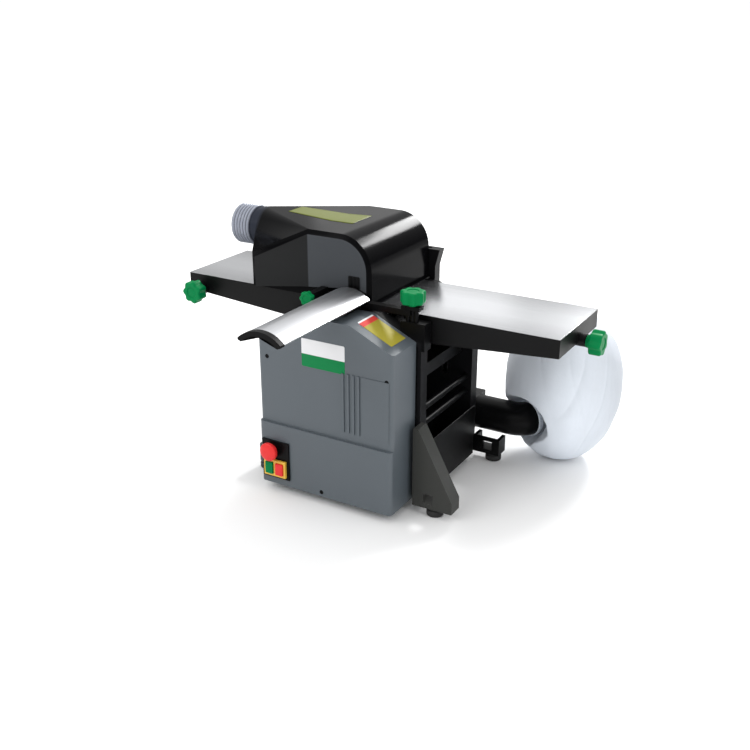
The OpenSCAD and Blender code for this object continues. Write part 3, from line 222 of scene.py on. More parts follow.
def brush_group():
    """Brushed lines: noise drawn out along the axes with a small stretch value."""
    name = "Brush lines"
    if name in bpy.data.node_groups:
        return bpy.data.node_groups[name]
    tree, start, end = new_group(
        name, [("Stretch", "NodeSocketVector", (4.0, 900.0, 4.0))], [("Lines", "NodeSocketFloat")]
    )
    place = tree.nodes.new("ShaderNodeTexCoord").outputs["Object"]
    scaled = tree.nodes.new("ShaderNodeVectorMath")
    scaled.operation = "MULTIPLY"
    tree.links.new(place, scaled.inputs[0])
    tree.links.new(start.outputs["Stretch"], scaled.inputs[1])
    tree.links.new(noise_node(tree, scaled.outputs[0], scale=1.0, detail=3.0), end.inputs["Lines"])
    return tree


def dust_group():
    """Fine dust on faces that look up: the normal's rise above 0.5 times a coarse noise."""
    name = "Settled dust"
    if name in bpy.data.node_groups:
        return bpy.data.node_groups[name]
    tree, start, end = new_group(name, [("Amount", "NodeSocketFloat", 0.1)], [("Mask", "NodeSocketFloat")])
    place = tree.nodes.new("ShaderNodeTexCoord").outputs["Object"]
    normal = tree.nodes.new("ShaderNodeNewGeometry").outputs["Normal"]
    split = tree.nodes.new("ShaderNodeSeparateXYZ")
    tree.links.new(normal, split.inputs[0])
    up = band(tree, split.outputs["Z"], 0.5, 1.0)
    patch = band(tree, noise_node(tree, place, scale=30.0, detail=5.0), 0.35, 0.75)
    mask = math_node(tree, "MULTIPLY", up, patch)
    tree.links.new(math_node(tree, "MULTIPLY", mask, start.outputs["Amount"]), end.inputs["Mask"])
    return tree


def use_group(tree, group, **values):
    """Places a group in a material and sets its inputs."""
    node = tree.nodes.new("ShaderNodeGroup")
    node.node_tree = group
    for label, value in values.items():
        if isinstance(value, bpy.types.NodeSocket):
            tree.links.new(value, node.inputs[label])
        elif hasattr(value, "__len__"):
            size = len(node.inputs[label].default_value)
            node.inputs[label].default_value = (*tuple(value)[:3], 1.0)[:size]
        else:
            node.inputs[label].default_value = value
    return node


def blank(name):
    """A new material, its tree and its Principled shader."""
    material = bpy.data.materials.new(name)
    material.use_nodes = True
    tree = material.node_tree
    return material, tree, tree.nodes["Principled BSDF"]


def bumped(tree, shader, height, strength, distance):
    """Feeds a height to the shader's normal through a Bump node."""
    bump = tree.nodes.new("ShaderNodeBump")
    bump.inputs["Strength"].default_value = strength
    bump.inputs["Distance"].default_value = distance
    tree.links.new(height, bump.inputs["Height"])
    tree.links.new(bump.outputs["Normal"], shader.inputs["Normal"])


def object_axes(tree):
    """The three Object coordinates as sockets."""
    split = tree.nodes.new("ShaderNodeSeparateXYZ")
    tree.links.new(tree.nodes.new("ShaderNodeTexCoord").outputs["Object"], split.inputs[0])
    return split.outputs["X"], split.outputs["Y"], split.outputs["Z"]


def finish(name, colour, rough, scale=900.0, depth=0.1, drift=0.1, dust=0.0, gloss=0.5):
    """A painted or moulded finish: grain on colour, gloss and height, and dust on top faces."""
    if name in bpy.data.materials:
        return bpy.data.materials[name]
    material, tree, shader = blank(name)
    grain = use_group(
        tree, grain_group(), Colour=tuple(colour), Drift=drift, Roughness=rough, Spread=0.12, Scale=scale
    )
    out = grain.outputs["Colour"]
    if dust:
        mask = use_group(tree, dust_group(), Amount=dust).outputs["Mask"]
        dust_tone = (0.45, 0.42, 0.38)
        out = mixed(tree, mask, out, dust_tone)
    tree.links.new(out, shader.inputs["Base Color"])
    tree.links.new(grain.outputs["Roughness"], shader.inputs["Roughness"])
    shader.inputs["Specular IOR Level"].default_value = gloss
    bumped(tree, shader, grain.outputs["Height"], strength=depth, distance=0.0004)
    return material


def brushed(name, colour, rough, stretch, depth=0.12):
    """Brushed metal: lines in colour, gloss and height."""
    if name in bpy.data.materials:
        return bpy.data.materials[name]
    material, tree, shader = blank(name)
    lines = use_group(tree, brush_group(), Stretch=stretch).outputs["Lines"]
    shade, swing = 0.8, 0.1
    dark = tuple(c * shade for c in colour)
    tree.links.new(mixed(tree, lines, dark, tuple(colour)), shader.inputs["Base Color"])
    uneven = math_node(tree, "MULTIPLY_ADD", lines, 2.0 * swing, rough - swing)
    tree.links.new(uneven, shader.inputs["Roughness"])
    shader.inputs["Metallic"].default_value = 1.0
    bumped(tree, shader, lines, strength=depth, distance=0.0003)
    return material


def table_finish():
    """Machined tops over black painted castings, split just under the top face's height.
    Away from the middle the brushed lines are darker: painted shade for the top's reflection falling off
    towards its edges."""
    name = "Table casting"
    if name in bpy.data.materials:
        return bpy.data.materials[name]
    material, tree, shader = blank(name)
    top = corners("outfeed_table")[1][2]
    _, across, height = object_axes(tree)
    paint_top, bare_from = top - 0.0009, top - 0.0005
    edge_shade_from, edge_shade_full = 0.025, 0.115
    line_shade, edge_shade_share = 0.82, 0.5
    smoothest, line_rough = 0.18, 0.13
    face = band(tree, height, paint_top, bare_from)
    lines = use_group(tree, brush_group(), Stretch=(5.0, 700.0, 5.0)).outputs["Lines"]
    silver = tuple(colours().silver)
    tone = mixed(tree, lines, tuple(c * line_shade for c in silver), silver)
    # Painted shade: the top is darkened towards both long edges, for its reflection falling off there.
    reach = math_node(tree, "ABSOLUTE", across)
    painted_edge_shade = math_node(tree, "MULTIPLY", band(tree, reach, edge_shade_from, edge_shade_full), band(tree, lines, 0.1, 0.7))
    tone = mixed(tree, painted_edge_shade, tone, tuple(c * edge_shade_share for c in silver))
    paint = use_group(
        tree, grain_group(), Colour=tuple(colours().black), Drift=0.3, Roughness=0.42, Spread=0.2, Scale=600.0
    )
    tree.links.new(mixed(tree, face, paint.outputs["Colour"], tone), shader.inputs["Base Color"])
    tree.links.new(face, shader.inputs["Metallic"])
    polish = math_node(tree, "MULTIPLY_ADD", lines, line_rough, smoothest)
    swing = math_node(tree, "SUBTRACT", polish, paint.outputs["Roughness"])
    rough = math_node(tree, "MULTIPLY_ADD", swing, face, paint.outputs["Roughness"])
    tree.links.new(rough, shader.inputs["Roughness"])
    shader.inputs["Specular IOR Level"].default_value = 0.14
    bumped(tree, shader, lines, strength=0.08, distance=0.0003)
    return material


def hood_finish():
    """Glossy black shell, with a charcoal front face whose part left of the fold is darker as painted shade,
    and a blue-black outlet collar.
    """
    name = "Hood shell"
    if name in bpy.data.materials:
        return bpy.data.materials[name]
    material, tree, shader = blank(name)
    across, depth, _ = object_axes(tree)
    # The front face is all that lies within about a millimetre of the hood's foremost point.
    front = corners("chip_hood")[0][1] + 0.0012
    face = band(tree, math_node(tree, "MULTIPLY", depth, -1.0), -front - 0.0004, -front + 0.0002)
    collar, fold_blend, collar_blend = -0.268, 0.001, 0.006
    # Painted shade: left of the fold the front face gets a darker charcoal, for that part turned away from
    # the light.
    painted_shade_tone, front_tone = (0.02, 0.0205, 0.021), (0.062, 0.067, 0.074)
    collar_tone, shell_tone = (0.03, 0.034, 0.046), (0.0025, 0.0025, 0.003)
    past_fold = band(tree, across, HOOD_FOLD - fold_blend, HOOD_FOLD + fold_blend)
    past_collar = band(tree, across, collar - collar_blend, collar + collar_blend)
    panel = mixed(tree, past_fold, painted_shade_tone, front_tone)
    shell = mixed(tree, past_collar, collar_tone, shell_tone)
    grain = use_group(tree, grain_group(), Colour=shell, Drift=0.2, Roughness=0.16, Spread=0.1, Scale=500.0)
    tree.links.new(mixed(tree, face, grain.outputs["Colour"], panel), shader.inputs["Base Color"])
    rough = math_node(tree, "MULTIPLY_ADD", face, 0.22, grain.outputs["Roughness"])
    tree.links.new(rough, shader.inputs["Roughness"])
    shader.inputs["Specular IOR Level"].default_value = 0.028
    bumped(tree, shader, grain.outputs["Height"], strength=0.03, distance=0.0003)
    return material


def bag_finish():
    """White woven film: weave and creases from a stretched noise, and painted shade that greys it outward by
    X + 0.6 Y.
    """
    material, tree, shader = blank("Bag film")
    low, high = corners("chip_bag")
    middle, wide = (low + high) / 2, (high[0] - low[0]) / 2
    across, depth, _ = object_axes(tree)
    depth_share, bag_shade_share = 0.6, 0.6
    outward = math_node(tree, "MULTIPLY_ADD", depth, depth_share, across)
    centre = middle[0] + depth_share * middle[1]
    # Painted shade: the film is darker towards its right and back side.
    painted_bag_shade = band(tree, outward, centre, centre + 1.1 * wide)
    white = tuple(colours().bag)
    tone = mixed(tree, painted_bag_shade, white, tuple(c * bag_shade_share for c in white))
    grain = use_group(tree, grain_group(), Colour=tone, Drift=0.1, Roughness=0.55, Spread=0.15, Scale=70.0)
    tree.links.new(grain.outputs["Colour"], shader.inputs["Base Color"])
    tree.links.new(grain.outputs["Roughness"], shader.inputs["Roughness"])
    shader.inputs["Specular IOR Level"].default_value = 0.2
    shader.inputs["Subsurface Weight"].default_value = 0.1
    shader.inputs["Subsurface Radius"].default_value = (0.02, 0.02, 0.02)
    weave = use_group(tree, brush_group(), Stretch=(60.0, 60.0, 22.0)).outputs["Lines"]
    creases = math_node(tree, "ADD", weave, grain.outputs["Height"])
    bumped(tree, shader, creases, strength=0.25, distance=0.002)
    return material


def clear_finish():
    """Cloudy clear plastic with painted shade in the grooves and painted light on the crests, by the sine of
    the place along X times the ribs.
    """
    material, tree, shader = blank("Clear plastic")
    low, high = corners("outlet_sleeve")
    turns = math.pi * sizes().sleeve_ribs / (high[0] - low[0])
    place = math_node(tree, "MULTIPLY_ADD", object_axes(tree)[0], turns, -low[0] * turns)
    crest = math_node(tree, "ABSOLUTE", math_node(tree, "SINE", place))
    # Painted shade and light: the grooves are darker and the rib crests lighter.
    painted_groove_shade, painted_crest_light = (0.14, 0.15, 0.185), (0.45, 0.48, 0.56)
    tone = mixed(tree, band(tree, crest, 0.25, 0.85), painted_groove_shade, painted_crest_light)
    grain = use_group(tree, grain_group(), Colour=tone, Drift=0.05, Roughness=0.2, Spread=0.08, Scale=300.0)
    tree.links.new(grain.outputs["Colour"], shader.inputs["Base Color"])
    tree.links.new(grain.outputs["Roughness"], shader.inputs["Roughness"])
    shader.inputs["Transmission Weight"].default_value = 0.3
    shader.inputs["IOR"].default_value = 1.3
    return material


def banded(name, axis, stops, rough=0.35):
    """A plate in plain colour bands along one Object axis: stops are (place, colour) from low to high.
    The first colour also fills what lies below its place."""
    material, tree, shader = blank(name)
    place = object_axes(tree)[axis]
    blend = 0.0003
    out = stops[0][1]
    for start, colour in stops[1:]:
        out = mixed(tree, band(tree, place, start - blend, start + blend), out, colour)
    grain = use_group(tree, grain_group(), Colour=out, Drift=0.05, Roughness=rough, Spread=0.1, Scale=700.0)
    tree.links.new(grain.outputs["Colour"], shader.inputs["Base Color"])
    tree.links.new(grain.outputs["Roughness"], shader.inputs["Roughness"])
    shader.inputs["Specular IOR Level"].default_value = 0.15
    bumped(tree, shader, grain.outputs["Height"], strength=0.03, distance=0.0002)
    return material


def slot_finishes():
    """One finish for each material slot of the record."""
    hues = colours()
    black = tuple(hues.black)
    leg, dark, rubber = (0.038, 0.039, 0.036), (0.007, 0.007, 0.008), (0.018, 0.018, 0.018)
    steel, aluminium, brass = (0.5, 0.51, 0.53), (0.64, 0.65, 0.67), (0.55, 0.4, 0.16)
    amber = (0.55, 0.38, 0.13)
    return {
        "grey_paint": finish("Grey paint", hues.housing, 0.4, 700.0, depth=0.12, drift=0.08, dust=0.03),
        "leg_paint": finish("Leg paint", leg, 0.42, 600.0, depth=0.12, drift=0.1, dust=0.01, gloss=0.2),
        "dark_paint": finish("Dark paint", dark, 0.42, 600.0, depth=0.12, drift=0.2, dust=0.01, gloss=0.1),
        "black_paint": finish(
            "Black paint", black, 0.4, 600.0, depth=0.12, drift=0.3, dust=0.006, gloss=0.09
        ),
        "hood_black": hood_finish(),
        "black_plastic": finish("Black plastic", black, 0.36, 800.0, depth=0.08, drift=0.2, gloss=0.1),
        "table_metal": table_finish(),
        "bright_steel": brushed("Bright steel", steel, 0.34, (300.0, 20.0, 300.0)),
        "guard_aluminium": brushed("Guard metal", aluminium, 0.36, (700.0, 5.0, 700.0), depth=0.03),
        "green_plastic": finish("Green plastic", hues.green, 0.42, 500.0, depth=0.05, gloss=0.08),
        "red_plastic": finish("Red plastic", hues.red, 0.34, 500.0, depth=0.04, drift=0.08, gloss=0.3),
        "yellow_plastic": finish("Yellow plastic", hues.yellow, 0.35, 500.0, depth=0.05, drift=0.08),
        "gear_plastic": finish("Gear plastic", amber, 0.5, 400.0),
        "rubber": finish("Black rubber", rubber, 0.75, 1200.0, depth=0.25),
        "clear_plastic": clear_finish(),
        "bag_fabric": bag_finish(),
        "bush_brass": brushed("Bush metal", brass, 0.35, (200.0, 40.0, 200.0)),
    }


# Meshes


def stitched(rows, columns, closed_rows, closed_columns):
    """Quads over a grid of points numbered row by row."""
    i = np.arange(rows if closed_rows else rows - 1)
    j = np.arange(columns if closed_columns else columns - 1)
    i, j = np.meshgrid(i, j, indexing="ij")
    k, m = (i + 1) % rows, (j + 1) % columns
    quads = np.stack([i * columns + j, i * columns + m, k * columns + m, k * columns + j], axis=-1)
    return quads.reshape(-1, 4)


def surface(grid, closed_rows=False):
    """Vertices and faces of closed rings of points. End rings are capped by a fan to their middle."""
    rows, columns, _ = grid.shape
    points = grid.reshape(-1, 3)
    faces = stitched(rows, columns, closed_rows, True).tolist()
    if not closed_rows:
        middle = np.stack([grid[0].mean(axis=0), grid[-1].mean(axis=0)])
        j = np.arange(columns)
        m = (j + 1) % columns
        first, last = len(points), len(points) + 1
        base = (rows - 1) * columns
        faces += np.stack([np.full(columns, first), m, j], axis=-1).tolist()
        faces += np.stack([np.full(columns, last), base + j, base + m], axis=-1).tolist()
        points = np.concatenate([points, middle])
    return points, faces


def merged(parts):
    """Several (points, faces) pairs as one pair."""
    points, faces, count = [], [], 0
    for p, f in parts:
        points.append(p)
        faces += [[v + count for v in face] for face in f]
        count += len(p)
    return np.concatenate(points), faces


def make_piece(name, shape, node, material=None, replaces=(), sharp=40.0, bevel=0.0):
    """A new object from (points, faces) that rides with a node's body, in that node's slot."""
    points, faces = shape
    mesh = bpy.data.meshes.new(name)
    mesh.from_pydata(points.tolist(), [], faces)
    work = bmesh.new()
    work.from_mesh(mesh)
    bmesh.ops.remove_doubles(work, verts=work.verts, dist=1e-7)
    bmesh.ops.recalc_face_normals(work, faces=work.faces)
    work.to_mesh(mesh)
    work.free()
    return dressed(mesh, name, node, material, replaces, sharp, bevel)


def dressed(mesh, name, node, material, replaces, sharp, bevel):
    """Smooth shading, material, bevel, body and slot of a new mesh."""
    mesh.materials.clear()
    mesh.materials.append(material or slot_finishes_once()[SLOT_OF[node]])
    mesh.polygons.foreach_set("use_smooth", np.ones(len(mesh.polygons), dtype=bool))
    mesh.set_sharp_from_angle(angle=math.radians(sharp))
    mesh.update()
    piece = bpy.data.objects.new(name, mesh)
    bpy.context.scene.collection.objects.link(piece)
    if bevel:
        rounding = piece.modifiers.new("Rounded edges", "BEVEL")
        rounding.width = bevel
        rounding.segments = 3
        rounding.limit_method = "ANGLE"
        rounding.angle_limit = math.radians(35.0)
    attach(piece, BODY_OF[node])
    if replaces:
        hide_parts(*replaces)
    return piece


FINISHES = {}


def slot_finishes_once():
    """The finishes, made on first use."""
    if not FINISHES:
        FINISHES.update(slot_finishes())
    return FINISHES


def softened(node, width):
    """The node's own form with rounded edges: loose triangles merged, flat ones joined, then bevelled."""
    mesh = NODES[node].data.copy()
    mesh.name = node + "_skin"
    if "custom_normal" in mesh.attributes:
        mesh.attributes.remove(mesh.attributes["custom_normal"])
    work = bmesh.new()
    work.from_mesh(mesh)
    bmesh.ops.remove_doubles(work, verts=work.verts, dist=2e-6)
    bmesh.ops.dissolve_limit(work, angle_limit=math.radians(0.5), verts=work.verts, edges=work.edges)
    work.to_mesh(mesh)
    work.free()
    return dressed(mesh, node + "_skin", node, None, (node,), sharp=32.0, bevel=width)


def side_axes(axis):
    """Two unit vectors square to an axis."""
    axis = np.asarray(axis, float) / np.linalg.norm(axis)
    first = np.cross(axis, Z if abs(axis[2]) < 0.9 else X)
    first /= np.linalg.norm(first)
    return axis, first, np.cross(axis, first)


def turned(profile, origin, axis, steps=96, wave=None):
    """A profile of (radius, place along the axis, wave share) turned about the axis.
    wave(turn, share) scales the radius."""
    profile = np.asarray(profile, float)
    axis, first, second = side_axes(axis)
    turn = np.linspace(0.0, 2.0 * np.pi, steps, endpoint=False)
    radius = np.repeat(profile[:, :1], steps, axis=1)
    if wave is not None:
        radius = radius * wave(turn[None, :], profile[:, 2:3])
    ring = np.cos(turn)[None, :, None] * first + np.sin(turn)[None, :, None] * second
    return np.asarray(origin, float) + profile[:, 1, None, None] * axis + radius[..., None] * ring


def smoothed(values, passes=6):
    """Each inner value becomes the mean of itself and its neighbours, several times over."""
    for _ in range(passes):
        values = np.concatenate([values[:1], (values[:-2] + values[1:-1] + values[2:]) / 3.0, values[-1:]])
    return values


def fillet(radius, low, high, bend, steps=6):
    """Profile points of a rounded disc edge: straight wall between two quarter bends."""
    a = np.linspace(0.0, np.pi / 2, steps)
    lower = np.stack([radius - bend + bend * np.sin(a), low + bend - bend * np.cos(a)], axis=-1)
    upper = np.stack([radius - bend + bend * np.cos(a), high - bend + bend * np.sin(a)], axis=-1)
    return np.concatenate([lower, upper])


def rounded_outline(width, height, bend, steps=8):
    """A rounded rectangle about the origin: four quarter bends."""
    a = np.linspace(0.0, np.pi / 2, steps)
    turns = np.concatenate([a, a + np.pi / 2, a + np.pi, a + 1.5 * np.pi])
    signs = np.repeat([[1, 1], [-1, 1], [-1, -1], [1, -1]], steps, axis=0)
    middle = signs * [width / 2 - bend, height / 2 - bend]
    return middle + bend * np.stack([np.cos(turns), np.sin(turns)], axis=-1)


def plate(centre, across, along, width, height, bend, thick, edge):
    """A flat plate with rounded corners: its outline carried along its normal.
    At the top it is drawn in by a quarter bend."""
    across, along = np.asarray(across, float), np.asarray(along, float)
    normal = np.cross(across, along)
    a = np.linspace(0.0, np.pi / 2, 5)
    insets = np.concatenate([[0.0], edge * (1.0 - np.cos(a))])
    lifts = np.concatenate([[0.0], thick - edge + edge * np.sin(a)])
    rings = []
    for inset, lift in zip(insets, lifts):
        flat = rounded_outline(width - 2 * inset, height - 2 * inset, max(bend - inset, 1e-4))
        rings.append(np.asarray(centre) + flat[:, :1] * across + flat[:, 1:] * along + lift * normal)
    return surface(np.stack(rings))


# Operators


class PLANER_OT_stage(bpy.types.Operator):
    """Camera at the photographed angle, pale floor and soft studio light"""

    bl_idname = "planer.stage"
    bl_label = "Stage"

    def execute(self, context):
        scene = context.scene
        look_down, look_left = math.radians(22.29), math.radians(30.42)
        data = bpy.data.cameras.new("View")
        data.sensor_width = 36.0
        data.lens = 47.86
        camera = bpy.data.objects.new("View", data)
        camera.location = (1.009, -1.7495, 1.0415)
        camera.rotation_euler = (math.pi / 2 - look_down, 0.0, look_left)
        scene.collection.objects.link(camera)
        scene.camera = camera
        floor = bpy.data.meshes.new("Floor")
        reach = 80.0
        floor.from_pydata(
            [(-reach, -reach, 0.0), (reach, -reach, 0.0), (reach, reach, 0.0), (-reach, reach, 0.0)],
            [],
            [(0, 1, 2, 3)],
        )
        ground = bpy.data.objects.new("Floor", floor)
        material, _, shader = blank("Pale floor")
        shader.inputs["Base Color"].default_value = (0.93, 0.93, 0.93, 1.0)
        shader.inputs["Roughness"].default_value = 0.9
        floor.materials.append(material)
        scene.collection.objects.link(ground)
        world = bpy.data.worlds.new("Studio")
        world.use_nodes = True
        sky = world.node_tree
        rise = sky.nodes.new("ShaderNodeSeparateXYZ")
        sky.links.new(sky.nodes.new("ShaderNodeTexCoord").outputs["Generated"], rise.inputs[0])
        # The sky brightens from the horizon up, and is plain white where the camera sees it.
        level = band(sky, rise.outputs["Z"], 0.0, 0.5)
        bright = math_node(sky, "MULTIPLY_ADD", level, 1.14, 0.08)
        sky.nodes["Background"].inputs["Color"].default_value = (1.0, 1.0, 1.0, 1.0)
        seen = sky.nodes.new("ShaderNodeLightPath").outputs["Is Camera Ray"]
        sky.links.new(math_node(sky, "MAXIMUM", bright, seen), sky.nodes["Background"].inputs["Strength"])
        scene.world = world
        # Name, place, aim, width and height, and power in watts.
        lights = [
            ("Key", (-1.6, -2.6, 2.4), (0.0, 0.0, 0.3), (1.6, 1.6), 24.0),
            ("Softbox", (0.35, 2.6, 2.0), (0.0, 0.0, 0.5), (1.1, 0.45), 84.0),
            ("Glow", (-1.3, 2.6, 1.35), (0.1, 0.0, 0.41), (1.0, 0.5), 1.4),
            ("Side", (2.6, -0.6, 1.6), (0.0, 0.0, 0.3), (1.2, 1.2), 6.0),
        ]
        for name, place, aim, size, power in lights:
            lamp = bpy.data.lights.new(name, "AREA")
            lamp.shape = "RECTANGLE"
            lamp.size, lamp.size_y = size
            lamp.energy = power
            bulb = bpy.data.objects.new(name, lamp)
            bulb.location = place
            toward = np.subtract(aim, place)
            flat = math.hypot(toward[0], toward[1])
            bulb.rotation_euler = (math.atan2(flat, -toward[2]), 0.0, math.atan2(-toward[0], toward[1]))
            scene.collection.objects.link(bulb)
        scene.view_settings.view_transform = "Standard"
        return {"FINISHED"}


class PLANER_OT_solids(bpy.types.Operator):
    """Finishes on every solid of the frame"""

    bl_idname = "planer.solids"
    bl_label = "Solids"

    def execute(self, context):
        made = slot_finishes_once()
        for name, solid in NODES.items():
            solid.data.materials.clear()
            solid.data.materials.append(made[SLOT_OF[name]])
        return {"FINISHED"}


class PLANER_OT_castings(bpy.types.Operator):
    """Castings, sheet metal and mouldings with rounded edges"""

    bl_idname = "planer.castings"
    bl_label = "Castings"

    def execute(self, context):
        edge = sizes().edge
        wide = ("front_housing", "front_legs", "chip_hood", "infeed_table", "outfeed_table", "bed_table")
        fine = (
            "rear_legs", "guard_arm", "post_foot", "switch_plate", "switch_pad", "start_button", "off_button",
            "fence_bracket", "base_case", "fan_case", "front_wall", "rear_wall", "rear_cover", "crank",
        )
        housing_share, fine_share = 1.8, 0.6
        for node in wide:
            softened(node, edge * (housing_share if node == "front_housing" else 1.0))
        for node in fine:
            softened(node, edge * fine_share)
        return {"FINISHED"}


class PLANER_OT_knobs(bpy.types.Operator):
    """Green lobed hand knobs"""

    bl_idname = "planer.knobs"
    bl_label = "Knobs"

    def execute(self, context):
        lobes, dip = sizes().knob_lobes, sizes().knob_dip

        def wave(turn, share):
            """1 at a lobe and 1 - dip between two, as a cosine of the turn times the lobes."""
            return 1.0 - share * dip * (1.0 - np.cos(lobes * turn)) / 2.0

        dark = slot_finishes_once()["black_paint"]
        # Node, axis, and the lengths of the head and of the hub behind it as shares of the radius.
        knobs = (
            ("depth_knob", X, 1.0, 0.3),
            ("lock_knob", -Y, 1.0, 0.3),
            ("guard_height_knob", Z, 1.0, 0.15),
            ("guard_clamp_knob", -Y, 0.81, 0.3),
        )
        for node, axis, head_share, hub_share in knobs:
            low, high = corners(node)
            middle = (low + high) / 2
            i = int(np.argmax(np.abs(axis)))
            cross = [k for k in range(3) if k != i]
            radius = max((high - low)[cross]) / 2
            tip = high[i] if axis[i] > 0 else low[i]
            origin = middle.copy()
            origin[i] = tip
            head = radius * head_share
            back = -(high - low)[i]
            bend = radius * 0.16
            hub = head + radius * hub_share
            stem = radius * 0.2
            wall = fillet(radius, -head, 0.0, bend)
            # Up the back of the hub, round the lobed head and over its dished cap.
            rows = [(POLE, -hub, 0.0), (radius * 0.48, -hub, 0.0), (radius * 0.5, -hub + bend * 0.2, 0.0)]
            rows += [(radius * 0.52, -head, 0.0), (radius * 0.7, -head, 1.0)]
            rows += [(r, a, 1.0) for r, a in wall]
            rows += [(radius * 0.72, 0.0, 0.8), (radius * 0.5, -bend * 0.1, 0.0)]
            rows += [(radius * 0.46, -bend * 0.5, 0.0), (radius * 0.2, -bend * 0.35, 0.0)]
            rows += [(POLE, -bend * 0.3, 0.0)]
            shape = surface(turned(rows, origin, axis, steps=140, wave=wave))
            make_piece(node + "_grip", shape, node, replaces=(node,))
            shank = fillet(stem, back, -hub, stem * 0.2)
            make_piece(node + "_stem", surface(turned(shank, origin, axis, steps=48)), node, dark)
        return {"FINISHED"}


class PLANER_OT_guard(bpy.types.Operator):
    """Bridge guard: an arched plate with turned edges, and its dark end cap"""

    bl_idname = "planer.guard"
    bl_label = "Bridge guard"

    @staticmethod
    def arch(half, rise, thick, lip, steps=40):
        """Closed outline of an arch band in X and Z: outer arc, rounded lip, inner arc and lip."""
        big = (half * half + rise * rise) / (2 * rise)
        sweep = math.asin(half / big)
        a = np.linspace(-sweep, sweep, steps)
        arc = np.stack([np.sin(a), np.cos(a)], axis=-1)
        outer = big * arc + [0.0, rise - big]
        inner = (big - thick) * arc[::-1] + [0.0, rise - big]
        right = np.array([[half, -lip * 0.5], [half - lip * 0.3, -lip], [half - lip * 0.8, -lip]])
        left = right[::-1] * [-1, 1]
        return np.concatenate([outer, right, inner, left])

    def execute(self, context):
        node = "bridge_guard"
        low, high = corners(node)
        thick, rise, lip = 0.0025, 0.018, 0.003
        cap, cap_thick, cap_lip, cap_over, cap_rise = 0.014, 0.0095, 0.0045, 0.0006, 0.001
        base = high[2] - rise - cap_rise
        half = (high[0] - low[0]) / 2

        def carried(outline, front, back):
            """The outline carried along Y."""
            y = np.linspace(front, back, 12)
            flat = np.stack([outline[:, 0], np.zeros(len(outline)), outline[:, 1] + base], axis=-1)
            return surface(flat[None] + y[:, None, None] * Y)

        body = carried(self.arch(half, rise, thick, lip), low[1] + cap * 0.5, high[1])
        make_piece(node + "_plate", body, node, replaces=(node,), sharp=35.0, bevel=0.0004)
        outline = self.arch(half + cap_over, rise + cap_rise, cap_thick, cap_lip)
        dark = slot_finishes_once()["black_plastic"]
        ends = carried(outline, low[1], low[1] + cap)
        make_piece(node + "_cap", ends, node, dark, sharp=35.0, bevel=0.0012)
        return {"FINISHED"}


class PLANER_OT_sleeve(bpy.types.Operator):
    """Clear ribbed sleeve on the hood's outlet"""

    bl_idname = "planer.sleeve"
    bl_label = "Clear sleeve"

    def execute(self, context):
        low, high = corners("outlet_sleeve")
        middle = (low + high) / 2
        length = high[0] - low[0]
        outer = (high[2] - low[2]) / 2
        rib, wall, seat, seat_wall = 0.0022, 0.0018, 0.013, 0.0045
        along = np.linspace(0.0, length, 150)
        ribs = sizes().sleeve_ribs
        # Radius: the groove's, plus the rib height times the fourth power of a half sine for each rib.
        hump = np.abs(np.sin(np.pi * along / length * ribs)) ** 4
        skin = np.stack([outer - rib + rib * hump, along], axis=-1)
        bore = np.stack([np.full(20, outer - rib - wall), np.linspace(length, 0.0, 20)], axis=-1)
        bore[:, 0] = np.where(bore[:, 1] > length - seat, outer - seat_wall, bore[:, 0])
        origin = (low[0], middle[1], middle[2])
        shape = surface(turned(np.concatenate([skin, bore]), origin, X), closed_rows=True)
        make_piece("outlet_sleeve_ribbed", shape, "outlet_sleeve", replaces=("outlet_sleeve",))
        return {"FINISHED"}


